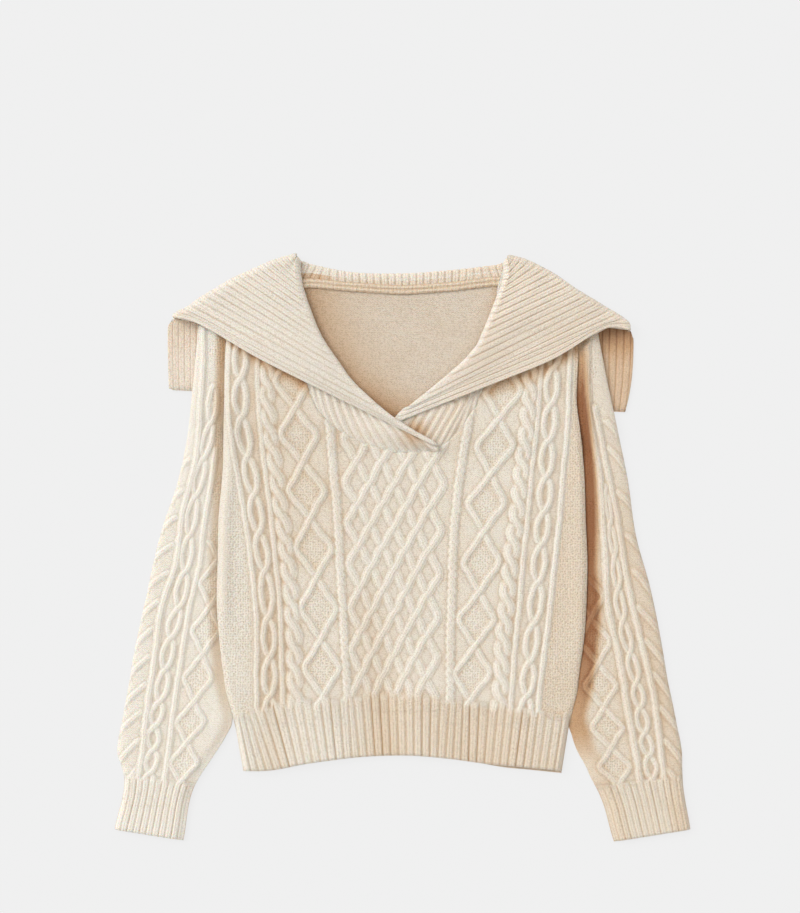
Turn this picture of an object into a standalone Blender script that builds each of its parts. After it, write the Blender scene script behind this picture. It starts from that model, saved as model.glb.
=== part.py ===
"""Cable knit sweater laid flat on its back: body, two sleeves and a wide ribbed collar.

The neck points to +Y, the wearer's right is at -X, and the back rests on z = 0.
Every piece is a knitted wall: a plain inner face and an outer face whose cables and
ribs are raised. Sizes are in millimetres here and metres in the meshes.
"""

from typing import NamedTuple

import bmesh
import bpy
import numpy as np

MM = 0.001

# Cloth and layers.
CLOTH = 3.2
LAYER_GAP = 0.8
COLLAR_CLOTH = 3.0
COLLAR_LIFT = 3.9
FRONT_AHEAD = 18.0
COLLAR_AHEAD = 26.0
CABLE_RISE = 2.2
RIDGE_RISE = 1.5
RIB_RISE = 1.3
COLLAR_RIB_RISE = 0.9
STRAND_HALF = 3.1
LEAST_STEP = 0.7

# The body: a row for each height, from the top of the hem rib to the shoulder.
BODY_HEIGHT = (-197, -173, -142, -108, -61, -24, 32, 90, 130, 171, 223, 273)
BODY_LEFT = (-196, -204, -209, -213, -216, -215, -214, -209, -208, -207, -206, -202)
BODY_RIGHT = (195, 202, 206, 211, 214, 215, 213, 211, 207, 202, 204, 201)
HEM_X = (-185, -161, -107, -37, 6, 56, 100, 146, 185)
HEM_Y = (-260, -260, -251, -243, -242, -246, -252, -256, -260)
RIB_TOP_X = (-197, -136, -88, -37, 10, 71, 122, 195)
RIB_TOP_Y = (-197, -183, -178, -172, -172, -181, -187, -197)
SHOULDER_X = (-202, -116, 113, 201)
SHOULDER_Y = (273, 312, 315, 271)
NECK_X = (-118, -117, -114, -100, -82, -44, -5, 39, 63, 86, 102, 113)
NECK_Y = (310, 246, 200, 162, 142, 121, 111, 113, 133, 166, 235, 315)
BACK_NECK_X = (-202, -112, -62, 0, 57, 111, 201)
BACK_NECK_Y = (273, 306, 301, 297, 301, 308, 271)
LEAF_EDGE_X = (-264, -246, -216, -192, -158, -111, -62, -14, 39, 57, 106, 154, 202, 226, 266)
LEAF_EDGE_Y = (267, 266, 253, 236, 216, 188, 162, 140, 114, 164, 183, 202, 229, 244, 256)

# The free edge of the collar's back part, which lies under the shoulders.
FREE_LEFT = (-272, 183)
FREE_RIGHT = (264, 157)


class Cable(NamedTuple):
    """One column of the front: its kind, half width, middle line and crossings."""

    kind: str
    half: float
    middle: tuple
    crossings: tuple = (0,)


# Heights at which the middle lines are given, from the hem rib up.
MIDDLE_HEIGHT = (-182, -61, 55, 155, 290)
LEFT_CABLES = (
    Cable("ridge", 0, (-169, -171, -186, -202, -199)),
    Cable("chain", 7, (-154, -157, -172, -187, -186), (-173, -128, -81, -27, 17, 61, 106, 151, 196)),
    Cable("ridge", 0, (-139, -143, -155, -166, -167)),
    Cable("rope", 7, (-124, -129, -143, -156, -155)),
    Cable("diamond", 21, (-92, -98, -110, -124, -136), (-173, -107, -35, 33, 99, 162, 225)),
    Cable("ridge", 0, (-63, -70, -77, -86, -96)),
)
RIGHT_CABLES = (
    Cable("ridge", 0, (55, 57, 63, 78, 90)),
    Cable("diamond", 21, (78, 88, 98, 113, 130), (-178, -115, -52, 18, 85, 150, 213)),
    Cable("rope", 7, (112, 121, 135, 146, 152)),
    Cable("ridge", 0, (125, 136, 147, 157, 166)),
    Cable("chain", 7, (143, 155, 165, 171, 180), (-172, -132, -88, -40, 3, 42, 82, 124, 166, 208)),
    Cable("ridge", 0, (157, 172, 184, 192, 196)),
)
LATTICE_HEIGHT = (-172, -71, 28, 75, 127)
LATTICE_LEFT = (-57, -60, -64, -67, -68)
LATTICE_RIGHT = (38, 42, 46, 49, 50)
LATTICE_STRANDS = 8
LEFT_KINKS = (-172, -120, -71, -19, 28, 75, 127)
RIGHT_KINKS = (-177, -128, -81, -31, 19, 72, 124)
ROPE_TWIST = 32.5

# Rows up the front: hem rib, shown cables, and the part that the collar covers.
HEM_ROWS = (0.0, 0.05, 0.96)
CABLE_ROWS = 32
COVERED_ROWS = 2
EDGE_STEPS = (0, 2.5, 7, 13)


class Station(NamedTuple):
    """A level of a sleeve: its points beside the body and on the far edge."""

    beside: tuple
    far: tuple


LEFT_SLEEVE = (
    Station((-255, -338), (-335, -328)),
    Station((-241, -276), (-324, -266)),
    Station((-221, -240), (-332, -236)),
    Station((-208, -190), (-322, -178)),
    Station((-217, -140), (-314, -132)),
    Station((-219, -68), (-299, -61)),
    Station((-217, 20), (-279, 24)),
    Station((-214, 66), (-264, 68)),
    Station((-212, 115), (-253, 113)),
    Station((-210, 190), (-244, 184)),
    Station((-207.5, 271), (-237, 258)),
)
RIGHT_SLEEVE = (
    Station((246, -338), (335, -328)),
    Station((225, -276), (326, -271)),
    Station((207, -240), (325, -237)),
    Station((205, -186), (313, -176)),
    Station((215, -118), (301, -107)),
    Station((218, -61), (292, -61)),
    Station((218, 10), (272, 12)),
    Station((215, 79), (262, 79)),
    Station((211, 146), (248, 146)),
    Station((207.5, 190), (239, 188)),
    Station((206.5, 266), (226, 255)),
)


class SleeveCable(NamedTuple):
    """A column of a sleeve: its place across as a share from the far edge."""

    kind: str
    half: float
    share: tuple


# Heights of the shares, from the cuff up.
SHARE_HEIGHT = (-276, -208, -61, 55, 171)
SLEEVE_CABLES = (
    SleeveCable("zigzag", 5, (0.12, 0.13, 0.12, 0.13, 0.14)),
    SleeveCable("ridge", 0, (0.25, 0.25, 0.28, 0.33, 0.38)),
    SleeveCable("chain", 6, (0.41, 0.38, 0.47, 0.58, 0.70)),
    SleeveCable("ridge", 0, (0.57, 0.55, 0.66, 0.80, 0.90)),
    SleeveCable("diamond", 11, (0.76, 0.75, 0.86, 0.93, 0.96)),
)
SLEEVE_REPEAT = {"chain": 41, "diamond": 51, "zigzag": 37, "ridge": 1}

# Width of the sleeve from which each kind of cable has its whole swing.
SLEEVE_FULL_WIDTH = {"chain": 70, "diamond": 100, "zigzag": 90, "ridge": 1}
SLEEVE_EDGE_STEP = 2.5
SLEEVE_CROWN_ROUND = 9.0
SLEEVE_TUCK = 22.0
CUFF_LENGTH = 62
CUFF_ROWS = (0.05, 0.5, 1.0)
CUFF_STEP = 1.5
SLEEVE_ROWS = 34
SLOT = 0.8
SLOT_ROWS = 7
SLOT_INSET = 5.0


class Leaf(NamedTuple):
    """A rib of the collar's front: where it is sewn, folded, and goes over the shoulder."""

    share: float
    sewn: tuple
    fold: tuple
    shoulder: tuple


LEFT_LEAF = (
    Leaf(0.00, (40, 119), (35, 124), (-266, 266)),
    Leaf(0.11, (12, 115), (-14, 149), (-251, 277)),
    Leaf(0.20, (-8, 115), (-53, 183), (-238, 287)),
    Leaf(0.32, (-54, 130.5), (-77, 214), (-219, 299)),
    Leaf(0.45, (-97, 174), (-96, 243), (-199, 311)),
    Leaf(0.61, (-114.5, 246), (-110, 277), (-175, 322)),
    Leaf(0.81, (-114.5, 290), (-117, 310), (-147, 334)),
    Leaf(1.00, (-112, 309), (-118, 334), (-121, 341)),
)
RIGHT_LEAF = (
    Leaf(0.00, (46, 122), (-13, 143), (265, 255)),
    Leaf(0.10, (51, 128), (0, 157), (253, 264)),
    Leaf(0.22, (57, 136), (14, 166), (238, 275)),
    Leaf(0.34, (69, 154), (72, 214), (222, 286)),
    Leaf(0.51, (83, 186), (97, 252), (199, 301)),
    Leaf(0.73, (98, 246), (110, 290), (169, 321)),
    Leaf(0.88, (105, 284), (116, 312), (142, 334)),
    Leaf(1.00, (109, 310), (117, 330), (122, 338)),
)
LEAF_RIBS = 20
LEAF_SHARES = (0.0, 0.22, 0.55, 1.0)
BACK_NECK_RIBS = 28
BACK_FOLD_X = (-112, -62, -5, 57, 111)
BACK_FOLD_Y = (329, 319, 317, 321, 327)
BACK_SEWN_RISE = 4.5
SHOULDER_ROUND = 6.0
FOLD_ROUND = 3.2

# Heights of the collar's layers above the lifted table, at the middle of the wall.
STAND_LEVEL = 6.0
BACK_STAND_LEVEL = 1.6
LEAF_LEVEL = 13.5
TIP_LEAF_LEVEL = 9.0
OVERLAP_STAND_LEVEL = 13.4
OVERLAP_LEAF_LEVEL = 17.4

# Rows of the collar: seam, three on the stand, fold, four on the leaf, three round the
# shoulder and the free edge; how far ribs rise there on each side; rows kept inside.
UPPER_SHARES = (0, 0.3, 0.6, 0.8, 1, 1, 1, 1, 1, 0.9, 0.4, 0, 0)
LOWER_SHARES = (0, 1, 1, 0.3, 0, 0, 0, 0, 0, 0, 0, 1, 1)
INNER_ROWS = (0, 1, 4, 5, 6, 8, 10, 11, 12)

BAND_ENDS = (-100, 98)
BAND_HALF = 3.4

WOOL = (0.83, 0.74, 0.60)
WOOL_SHADE = (0.74, 0.60, 0.44)


def flow(at, places, values):
    """Smooth curve through a table's rows, level past its ends."""
    places = np.asarray(places, float)
    values = np.asarray(values, float)
    slopes = np.gradient(values, places)
    at = np.clip(at, places[0], places[-1])
    cell = np.clip(np.searchsorted(places, at, side="right") - 1, 0, len(places) - 2)
    span = places[cell + 1] - places[cell]
    t = (at - places[cell]) / span
    start = (1 + 2 * t) * (1 - t) ** 2 * values[cell] + t * (1 - t) ** 2 * span * slopes[cell]
    end = t * t * (3 - 2 * t) * values[cell + 1] + t * t * (t - 1) * span * slopes[cell + 1]
    return start + end


def ease(share):
    """Soft step from 0 to 1."""
    share = np.clip(share, 0.0, 1.0)
    return share * share * (3 - 2 * share)


def free_edge(x):
    """Height of the free edge of the collar's back part at x."""
    return np.interp(x, (FREE_LEFT[0], FREE_RIGHT[0]), (FREE_LEFT[1], FREE_RIGHT[1]))


def table_lift(x, y, ahead=0.0):
    """How far a layer above the collar's back part is lifted off the table.

    An upper layer starts to climb some way ahead of the one below it.
    """
    return COLLAR_LIFT * ease((y + ahead - free_edge(x) + 50) / 42)


def turning_heights(crossings, low, high):
    """Heights between low and high at which a cable crosses or is widest."""
    crossings = np.asarray(crossings, float)
    heights = np.sort(np.concatenate([crossings, 0.5 * (crossings[1:] + crossings[:-1])]))
    inside = heights[(heights > low + 4) & (heights < high - 4)]
    return np.concatenate([[low], inside, [high]])


def snapped_rows(turns, rows):
    """Heights of evenly spaced rows, with the nearest row moved onto each turn."""
    low, high = turns[0], turns[-1]
    places = np.rint(rows * (turns - low) / (high - low)).astype(int)
    kept = np.concatenate([[True], np.diff(places) > 0])
    kept[-1] = True
    kept[:-1] &= places[:-1] < rows
    return np.interp(np.arange(rows + 1), places[kept], turns[kept])


def phase(y, crossings):
    """Count of crossings passed at height y, with the share of the next one."""
    count = np.arange(len(crossings))
    start = crossings[0] - (crossings[1] - crossings[0]) if len(crossings) > 1 else -1e3
    return np.interp(y, (start, *crossings), (-1, *count)) + 1


def swing(turns):
    """Triangle wave: 0 at each whole turn, 1 half way."""
    return 1 - abs(2 * (turns % 1) - 1)


# Cable sections ------------------------------------------------------------------


def ridge_lines(x):
    """A single rib of stitches: (place, rise) of each line."""
    return [(x - STRAND_HALF, 0), (x, RIDGE_RISE), (x + STRAND_HALF, 0)]


def pair_lines(x, spread, mids):
    """Two strands spread either side of x, joined where they cross."""
    spread = max(spread, 2.0)
    inside = min(STRAND_HALF, 0.6 * spread)
    join = CABLE_RISE * max(0.0, 1 - inside / STRAND_HALF) * 1.6
    outer = [(x - spread - STRAND_HALF, 0), (x - spread, CABLE_RISE)]
    if mids == 1:
        middle = [(x, max(join, CABLE_RISE * max(0.0, 1 - spread / STRAND_HALF)))]
    else:
        middle = [(x - spread + inside, join), (x + spread - inside, join)]
    return outer + middle + [(x + spread, CABLE_RISE), (x + spread + STRAND_HALF, 0)]


def rope_lines(x, half, y):
    """A tight two-strand twist: its two crests rise in turn."""
    lean = np.sin(2 * np.pi * y / ROPE_TWIST)
    return [
        (x - half - 1.0, 0),
        (x - 0.5 * half, CABLE_RISE * (0.9 + 0.3 * lean)),
        (x + 0.5 * half, CABLE_RISE * (0.9 - 0.3 * lean)),
        (x + half + 1.0, 0),
    ]


def cable_lines(cable, y):
    """The lines of one front cable at height y."""
    x = float(flow(y, MIDDLE_HEIGHT, cable.middle))
    if cable.kind == "ridge":
        return ridge_lines(x)
    if cable.kind == "rope":
        return rope_lines(x, cable.half, y)
    turns = phase(y, cable.crossings)
    if cable.kind == "chain":
        return pair_lines(x, cable.half * np.sin(np.pi * (turns % 1)), 1)
    shown = 1 - 0.6 * ease((y - 175) / 40)
    return pair_lines(x, cable.half * swing(turns) * shown, 2)


def lattice_lines(y):
    """The lines of the middle lattice: strands that sway and kiss their neighbours."""
    left = float(flow(y, LATTICE_HEIGHT, LATTICE_LEFT))
    right = float(flow(y, LATTICE_HEIGHT, LATTICE_RIGHT))
    cell = (right - left) / LATTICE_STRANDS
    crests = []
    for strand in range(LATTICE_STRANDS):
        across = (strand + 0.5) / LATTICE_STRANDS
        turns = (1 - across) * phase(y, LEFT_KINKS) + across * phase(y, RIGHT_KINKS)
        sway = swing(turns) if strand % 2 == 0 else 1 - swing(turns)
        crests.append(left + cell * (strand + 0.08 + 0.84 * sway))
    lines = []
    for strand, crest in enumerate(crests):
        before = crest - crests[strand - 1] if strand else 4 * STRAND_HALF
        after = crests[strand + 1] - crest if strand < LATTICE_STRANDS - 1 else 4 * STRAND_HALF
        sides = [min(STRAND_HALF, 0.35 * gap) for gap in (before, after)]
        rises = [CABLE_RISE * (1 - side / STRAND_HALF) for side in sides]
        lines += [(crest - sides[0], rises[0]), (crest, CABLE_RISE), (crest + sides[1], rises[1])]
    return lines


def front_lines(y):
    """Every line of the front at height y, from the left edge to the right."""
    left = float(flow(y, BODY_HEIGHT, BODY_LEFT))
    right = float(flow(y, BODY_HEIGHT, BODY_RIGHT))
    lines = [(left + step, 0) for step in EDGE_STEPS]
    for cable in LEFT_CABLES:
        lines += cable_lines(cable, y)
    lattice = lattice_lines(y)
    lines.append((0.5 * (lines[-1][0] + lattice[0][0]), 0))
    right_lines = [line for cable in RIGHT_CABLES for line in cable_lines(cable, y)]
    lines += lattice
    lines.append((0.5 * (lattice[-1][0] + right_lines[0][0]), 0))
    lines += right_lines
    lines += [(right - step, 0) for step in EDGE_STEPS[::-1]]
    return np.array(lines)


def line_crossings():
    """The crossings of the cable that each line of the front belongs to."""
    plain = (0.0,)
    found = [plain] * len(EDGE_STEPS)
    for cable in LEFT_CABLES:
        found += [cable.crossings] * len(cable_lines(cable, 0.0))
    found.append(plain)
    for strand in range(LATTICE_STRANDS):
        across = (strand + 0.5) / LATTICE_STRANDS
        kinks = [(1 - across) * a + across * b for a, b in zip(LEFT_KINKS, RIGHT_KINKS)]
        found += [tuple(kinks)] * 3
    found.append(plain)
    for cable in RIGHT_CABLES:
        found += [cable.crossings] * len(cable_lines(cable, 0.0))
    return found + [plain] * len(EDGE_STEPS)


def keep_order(places, step):
    """Moves lines that meet apart, with the first and the last where they are."""
    places = places.copy()
    for index in range(1, len(places) - 1):
        places[index] = max(places[index], places[index - 1] + step)
    for index in range(len(places) - 2, 0, -1):
        places[index] = min(places[index], places[index + 1] - step)
    return places


# Meshes --------------------------------------------------------------------------


def lay_grid(bm, places):
    """Lays a Blender grid on rows and columns of places in millimetres."""
    rows, columns = places.shape[:2]
    made = bmesh.ops.create_grid(bm, x_segments=columns - 1, y_segments=rows - 1, size=0.5)
    for vert, place in zip(made["verts"], places.reshape(-1, 3)):
        vert.co = place * MM
    return np.array(made["verts"], dtype=object).reshape(rows, columns)


def travelled(chain):
    """Distance along a chain of vertices, as shares of its length."""
    points = np.array([vert.co for vert in chain])
    steps = np.linalg.norm(np.diff(points, axis=0), axis=1)
    return np.concatenate([[0.0], np.cumsum(steps)]) / steps.sum()


def join_chains(bm, first, second):
    """Lofts between two chains of unlike count that start and end side by side."""
    one, two = travelled(first), travelled(second)
    i = j = 0
    while i < len(first) - 1 or j < len(second) - 1:
        first_is_next = i < len(first) - 1 and (j == len(second) - 1 or one[i + 1] <= two[j + 1])
        if first_is_next:
            bm.faces.new((first[i], first[i + 1], second[j]))
            i += 1
        else:
            bm.faces.new((first[i], second[j + 1], second[j]))
            j += 1


def rims(grid):
    """The four sides of a grid of vertices."""
    return grid[0, :], grid[-1, :], grid[:, 0], grid[:, -1]


def finish_piece(name, bm, collection, colour, weld=False):
    """Turns a closed bmesh into a named object with its own material."""
    if weld:
        bmesh.ops.remove_doubles(bm, verts=bm.verts, dist=1e-6)
    bmesh.ops.recalc_face_normals(bm, faces=bm.faces)
    mesh = bpy.data.meshes.new(name)
    bm.to_mesh(mesh)
    bm.free()
    material = bpy.data.materials.new(f"{name}_wool")
    material.use_nodes = True
    shader = material.node_tree.nodes["Principled BSDF"]
    shader.inputs["Base Color"].default_value = (*colour, 1.0)
    shader.inputs["Roughness"].default_value = 0.9
    shader.inputs["Metallic"].default_value = 0.0
    mesh.materials.append(material)
    mesh.shade_smooth()
    mesh.set_sharp_from_angle(angle=np.radians(50))
    piece = bpy.data.objects.new(name, mesh)
    collection.objects.link(piece)
    return piece


def build_wall(name, outer, inner, collection, colour):
    """A wall from two grids of places: its faces, joined round their four sides."""
    bm = bmesh.new()
    outer_grid = lay_grid(bm, outer)
    inner_grid = lay_grid(bm, inner)
    for first, second in zip(rims(outer_grid), rims(inner_grid)):
        join_chains(bm, first, second)
    return finish_piece(name, bm, collection, colour)


# Body ----------------------------------------------------------------------------


def opening_edge(x):
    """Top of the front at x: the neckline, or the shoulder beside it."""
    neck = np.interp(x, NECK_X, NECK_Y)
    shoulder = np.interp(x, SHOULDER_X, SHOULDER_Y)
    return neck if NECK_X[0] < x < NECK_X[-1] else shoulder


def line_tops(count):
    """Height at which each line of the front meets the neckline or the shoulder."""
    heights = np.arange(100.0, 316.0, 1.0)
    rows = [front_lines(y)[:, 0] for y in heights]
    tops = np.full(count, heights[-1])
    for index in range(count):
        for y, row in zip(heights, rows):
            if y >= opening_edge(row[index]):
                tops[index] = y
                break
    return tops


def edge_round(distance):
    """Share of the cloth's thickness at a distance in from a folded or sewn edge."""
    inward = np.clip(distance / 8.0, 0.0, 1.0)
    return 0.4 + 0.6 * np.sqrt(1 - (1 - inward) ** 2)


def soft_folds(x, y):
    """Large soft folds of the body: a full left side, and shallow waves at the hem."""
    left_roll = 2.4 * np.exp(-(((x + 205) / 9) ** 2)) * ease((190 - y) / 60) * ease((y + 110) / 60)
    hem_wave = 0.9 * (1 + np.cos((x + 94) * 2 * np.pi / 118)) * ease((-120 - y) / 60)
    belly = 1.2 * np.exp(-(((x - 150) / 60) ** 2)) * ease((120 - y) / 80)
    return left_roll + hem_wave + belly


def front_places():
    """Places of the front's outer face: rows from the hem up, lines from left to right."""
    start = front_lines(-182.0)
    count = len(start)
    tops = line_tops(count)
    rib_top = flow(start[:, 0], RIB_TOP_X, RIB_TOP_Y)
    covered = flow(front_lines(155.0)[:, 0], LEAF_EDGE_X, LEAF_EDGE_Y) + 14
    covered = np.minimum(covered, tops - 8)
    share = np.arange(count) / (count - 1)
    hem_x = BODY_LEFT[0] + 11 + (BODY_RIGHT[0] - BODY_LEFT[0] - 21) * share
    hem_y = flow(hem_x, HEM_X, HEM_Y)
    ribs = np.where(np.arange(count) % 2 == 1, RIB_RISE, 0.0)
    rows = []
    for along in HEM_ROWS:
        top_x = np.linspace(BODY_LEFT[0], BODY_RIGHT[0], count)
        x = hem_x + (top_x - hem_x) * along
        y = hem_y + (rib_top - 2.0 - hem_y) * along
        taper = 0.35 if along in (HEM_ROWS[0],) else 1.0
        rows.append((x, y, ribs * taper))
    heights = []
    for crossings, low, high in zip(line_crossings(), rib_top, covered):
        heights.append(snapped_rows(turning_heights(crossings, low, high), CABLE_ROWS))
    heights = np.array(heights).T
    for row in range(CABLE_ROWS + COVERED_ROWS + 1):
        beyond = max(row - CABLE_ROWS, 0) / COVERED_ROWS
        y = heights[min(row, CABLE_ROWS)]
        y = y + (tops - y) * beyond
        sections = [front_lines(height)[index] for index, height in enumerate(y)]
        x = keep_order(np.array(sections)[:, 0], LEAST_STEP)
        rise = np.array(sections)[:, 1]
        rows.append((x, y, rise * (0.3 if row == 0 else 1.0)))
    return rows


def front_underside(x, y):
    """Height of the front's plain inner face, just above the back panel."""
    return table_lift(x, y, FRONT_AHEAD) + CLOTH + LAYER_GAP


def dress_front(rows):
    """Gives the rows their heights off the table."""
    places = []
    for x, y, rise in rows:
        left, right = x[0], x[-1]
        depth = np.minimum(x - left, right - x)
        thick = CLOTH * edge_round(depth) + soft_folds(x, y) * ease(depth / 6)
        z = front_underside(x, y) + thick + rise * ease(depth / 9)
        places.append(np.stack([x, y, z], axis=1))
    return np.array(places)


def build_front(collection):
    """The front panel: hem rib, cables, and the cut of the neck."""
    outer = dress_front(front_places())
    rows, columns = outer.shape[:2]
    kept_rows = sorted({0, *range(3, rows // 2, 6), *range(rows // 2, rows, 2), rows - 1})
    steep = np.flatnonzero(abs(np.diff(outer[-1, :, 1])) > 9)
    kept_columns = sorted({*range(0, columns, 4), *steep, *(steep + 1), columns - 1})
    inner = outer[np.ix_(kept_rows, kept_columns)].copy()
    inner[..., 2] = front_underside(inner[..., 0], inner[..., 1])
    return build_wall("front_panel", outer, inner, collection, WOOL)


def build_back(collection):
    """The back panel, which rests on the table: plain inside, its hem a little long."""
    shares = np.linspace(0, 1, 13)
    heights = np.concatenate([[0.0, 0.25, 0.5, 0.65], np.linspace(0.69, 0.81, 7), [0.9, 1.0]])
    x_top = np.interp(shares, (0, 1), (-202, 201))
    tops = np.interp(x_top, BACK_NECK_X, BACK_NECK_Y)
    hem_x = np.interp(shares, (0, 1), (HEM_X[0], HEM_X[-1]))
    hems = flow(hem_x, HEM_X, HEM_Y) - 2.5 * ease((hem_x - 80) / 50)
    places = []
    for height in heights:
        y = hems + (tops - hems) * height
        left = np.interp(y, (-260, *BODY_HEIGHT), (-185, *BODY_LEFT))
        right = np.interp(y, (-260, *BODY_HEIGHT), (185, *BODY_RIGHT))
        x = left + (right - left) * shares
        depth = np.minimum(x - left, right - x)
        z = table_lift(x, y) + CLOTH * edge_round(depth + 2)
        places.append(np.stack([x, y, z], axis=1))
    inner = np.array(places)
    outer = inner[:, ::3].copy()
    outer[..., 2] = table_lift(outer[..., 0], outer[..., 1])
    return build_wall("back_panel", inner, outer, collection, WOOL_SHADE)


# Sleeves -------------------------------------------------------------------------


def sleeve_level(stations, along):
    """Far point, near point and width of a sleeve at a share of its length."""
    levels = np.linspace(0, 1, len(stations))
    far = np.array([station.far for station in stations], float)
    beside = np.array([station.beside for station in stations], float)
    edge = np.array([flow(along, levels, far[:, axis]) for axis in (0, 1)])
    side = np.array([flow(along, levels, beside[:, axis]) for axis in (0, 1)])
    return edge, side, np.linalg.norm(side - edge)


def cuff_lines(width, count):
    """(distance from the far edge, rise) of each line over a ribbed cuff."""
    ribs = np.where(np.arange(count) % 2 == 1, RIB_RISE, 0.0)
    return np.stack([np.linspace(0, width, count), ribs], axis=1)


def sleeve_lines(middle_y, width):
    """(distance from the far edge, rise) of each line over the top of a sleeve."""
    lines = [(0.0, 0.0), (SLEEVE_EDGE_STEP, 0.0)]
    for cable in SLEEVE_CABLES:
        x = width * float(flow(middle_y, SHARE_HEIGHT, cable.share))
        turns = (middle_y - SHARE_HEIGHT[0]) / SLEEVE_REPEAT[cable.kind]
        half = cable.half * min(1.0, width / SLEEVE_FULL_WIDTH[cable.kind])
        if cable.kind == "ridge":
            lines += ridge_lines(x)
        elif cable.kind == "zigzag":
            lines += ridge_lines(x + half * (2 * swing(turns) - 1))
        elif cable.kind == "chain":
            lines += pair_lines(x, half * np.sin(np.pi * (turns % 1)), 1)
        else:
            lines += pair_lines(x, half * swing(turns), 2)
    lines.append((width, 0.0))
    lines = np.array(lines)
    lines[:, 0] = keep_order(lines[:, 0], LEAST_STEP)
    return lines


def sleeve_section(stations, along, is_cuff=False, fade=1.0):
    """Ring of places round a sleeve: over the top from the far edge, then back below."""
    edge, side, width = sleeve_level(stations, along)
    lines = sleeve_lines(0.5 * (edge[1] + side[1]), width)
    if is_cuff:
        lines = cuff_lines(width, len(lines))
    across = (side - edge) / width
    whole = 2 * CLOTH + SLOT
    places = []
    for distance, rise in lines:
        other = width - distance
        inward = min(distance / SLEEVE_CROWN_ROUND, 1.0)
        crown = whole * (0.48 + 0.52 * np.sqrt(1 - (1 - inward) ** 2))
        sink = 1 - 0.42 * (1 - ease(other / SLEEVE_TUCK))
        shown = ease(distance / 6) * ease(other / 12) * fade
        places.append((*(edge + across * distance), crown * sink + rise * shown))
    for distance in (width - 1.5, 0.5 * width, SLEEVE_EDGE_STEP):
        places.append((*(edge + across * distance), 0.0))
    places.append(places[0])
    ring = np.array(places)
    ring[:, 2] += table_lift(ring[:, 0], ring[:, 1])
    return ring


def slot_section(stations, along):
    """Ring of the thin hollow inside a sleeve."""
    edge, side, width = sleeve_level(stations, along)
    across = (side - edge) / width
    low = CLOTH - 0.4
    middle = low + 0.5 * SLOT
    tuck = (width - SLOT_INSET - 4, middle - 0.6)
    ring = [(SLOT_INSET, middle), (0.5 * width, low + SLOT), tuck]
    ring += [(0.5 * width, low), (SLOT_INSET, middle)]
    places = np.array([(*(edge + across * distance), z) for distance, z in ring])
    places[:, 2] += table_lift(places[:, 0], places[:, 1])
    return places


def build_sleeve(name, stations, collection):
    """A sleeve: a flattened tube with its cuff, open at the cuff and the armhole."""
    fine = np.linspace(0, 1, 400)
    heights = np.array([sleeve_level(stations, along)[0][1] for along in fine])
    cuff_top = heights[0] + CUFF_LENGTH
    cuff_end = float(np.interp(cuff_top, heights, fine))
    targets = np.linspace(cuff_top + CUFF_STEP, heights[-1], SLEEVE_ROWS)
    sections = [sleeve_section(stations, 0.0, is_cuff=True, fade=0.4)]
    for share in CUFF_ROWS:
        sections.append(sleeve_section(stations, share * cuff_end, is_cuff=True))
    for along in np.interp(targets, heights, fine):
        sections.append(sleeve_section(stations, along))
    slots = [slot_section(stations, along) for along in np.linspace(0, 1, SLOT_ROWS)]
    bm = bmesh.new()
    skin = lay_grid(bm, np.array(sections))
    hollow = lay_grid(bm, np.array(slots))
    turn = skin.shape[1] - 4
    for row in (0, -1):
        join_chains(bm, skin[row, : turn], hollow[row, :3])
        join_chains(bm, skin[row, turn - 1 :], hollow[row, 2:])
    return finish_piece(name, bm, collection, WOOL, weld=True)


# Collar --------------------------------------------------------------------------


class Rib(NamedTuple):
    """The course of one line of the collar in plan, with its kind of layering."""

    sewn: np.ndarray
    fold: np.ndarray
    shoulder: np.ndarray
    free: np.ndarray
    side: float
    fronted: float


def leaf_rib(table, share, side):
    """A rib of a front leaf at a share of the way from its tip to the neck point."""
    shares = [row.share for row in table]

    def at(field):
        points = np.array([getattr(row, field) for row in table], float)
        return np.array([flow(share, shares, points[:, axis]) for axis in (0, 1)])

    shoulder = at("shoulder")
    free_x = shoulder[0] + side * 5.0 * (1 - share) * (1 if side < 0 else -0.4)
    free = np.array([free_x, free_edge(free_x)])
    return Rib(at("sewn"), at("fold"), shoulder, free, side, 1.0)


def back_rib(share):
    """A rib behind the neck, which folds straight over to the back."""
    fold_x = BACK_FOLD_X[0] + (BACK_FOLD_X[-1] - BACK_FOLD_X[0]) * share
    sewn_x = -107 + 213 * share
    sewn = np.array([sewn_x, np.interp(sewn_x, BACK_NECK_X, BACK_NECK_Y) + BACK_SEWN_RISE])
    fold = np.array([fold_x, float(flow(fold_x, BACK_FOLD_X, BACK_FOLD_Y))])
    free = np.array([fold_x, free_edge(fold_x)])
    return Rib(sewn, sewn + 0.6 * (fold - sewn), fold, free, 0.0, 0.0)


def collar_ribs():
    """Every line of the collar from the left tip round the back to the right tip."""
    total = 2 * (2 * LEAF_RIBS + BACK_NECK_RIBS)
    ribs = []
    for line in range(total + 1):
        rib = line / 2
        if rib <= LEAF_RIBS:
            ribs.append(leaf_rib(LEFT_LEAF, rib / LEAF_RIBS, -1.0))
        elif rib < LEAF_RIBS + BACK_NECK_RIBS:
            ribs.append(back_rib((rib - LEAF_RIBS) / BACK_NECK_RIBS))
        else:
            share = (2 * LEAF_RIBS + BACK_NECK_RIBS - rib) / LEAF_RIBS
            ribs.append(leaf_rib(RIGHT_LEAF, share, 1.0))
    return ribs


def stand_level(x, side):
    """Middle of the stand above the lifted table."""
    if side < 0:
        return STAND_LEVEL + (OVERLAP_STAND_LEVEL - STAND_LEVEL) * ease((x + 60) / 45)
    return STAND_LEVEL


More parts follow.
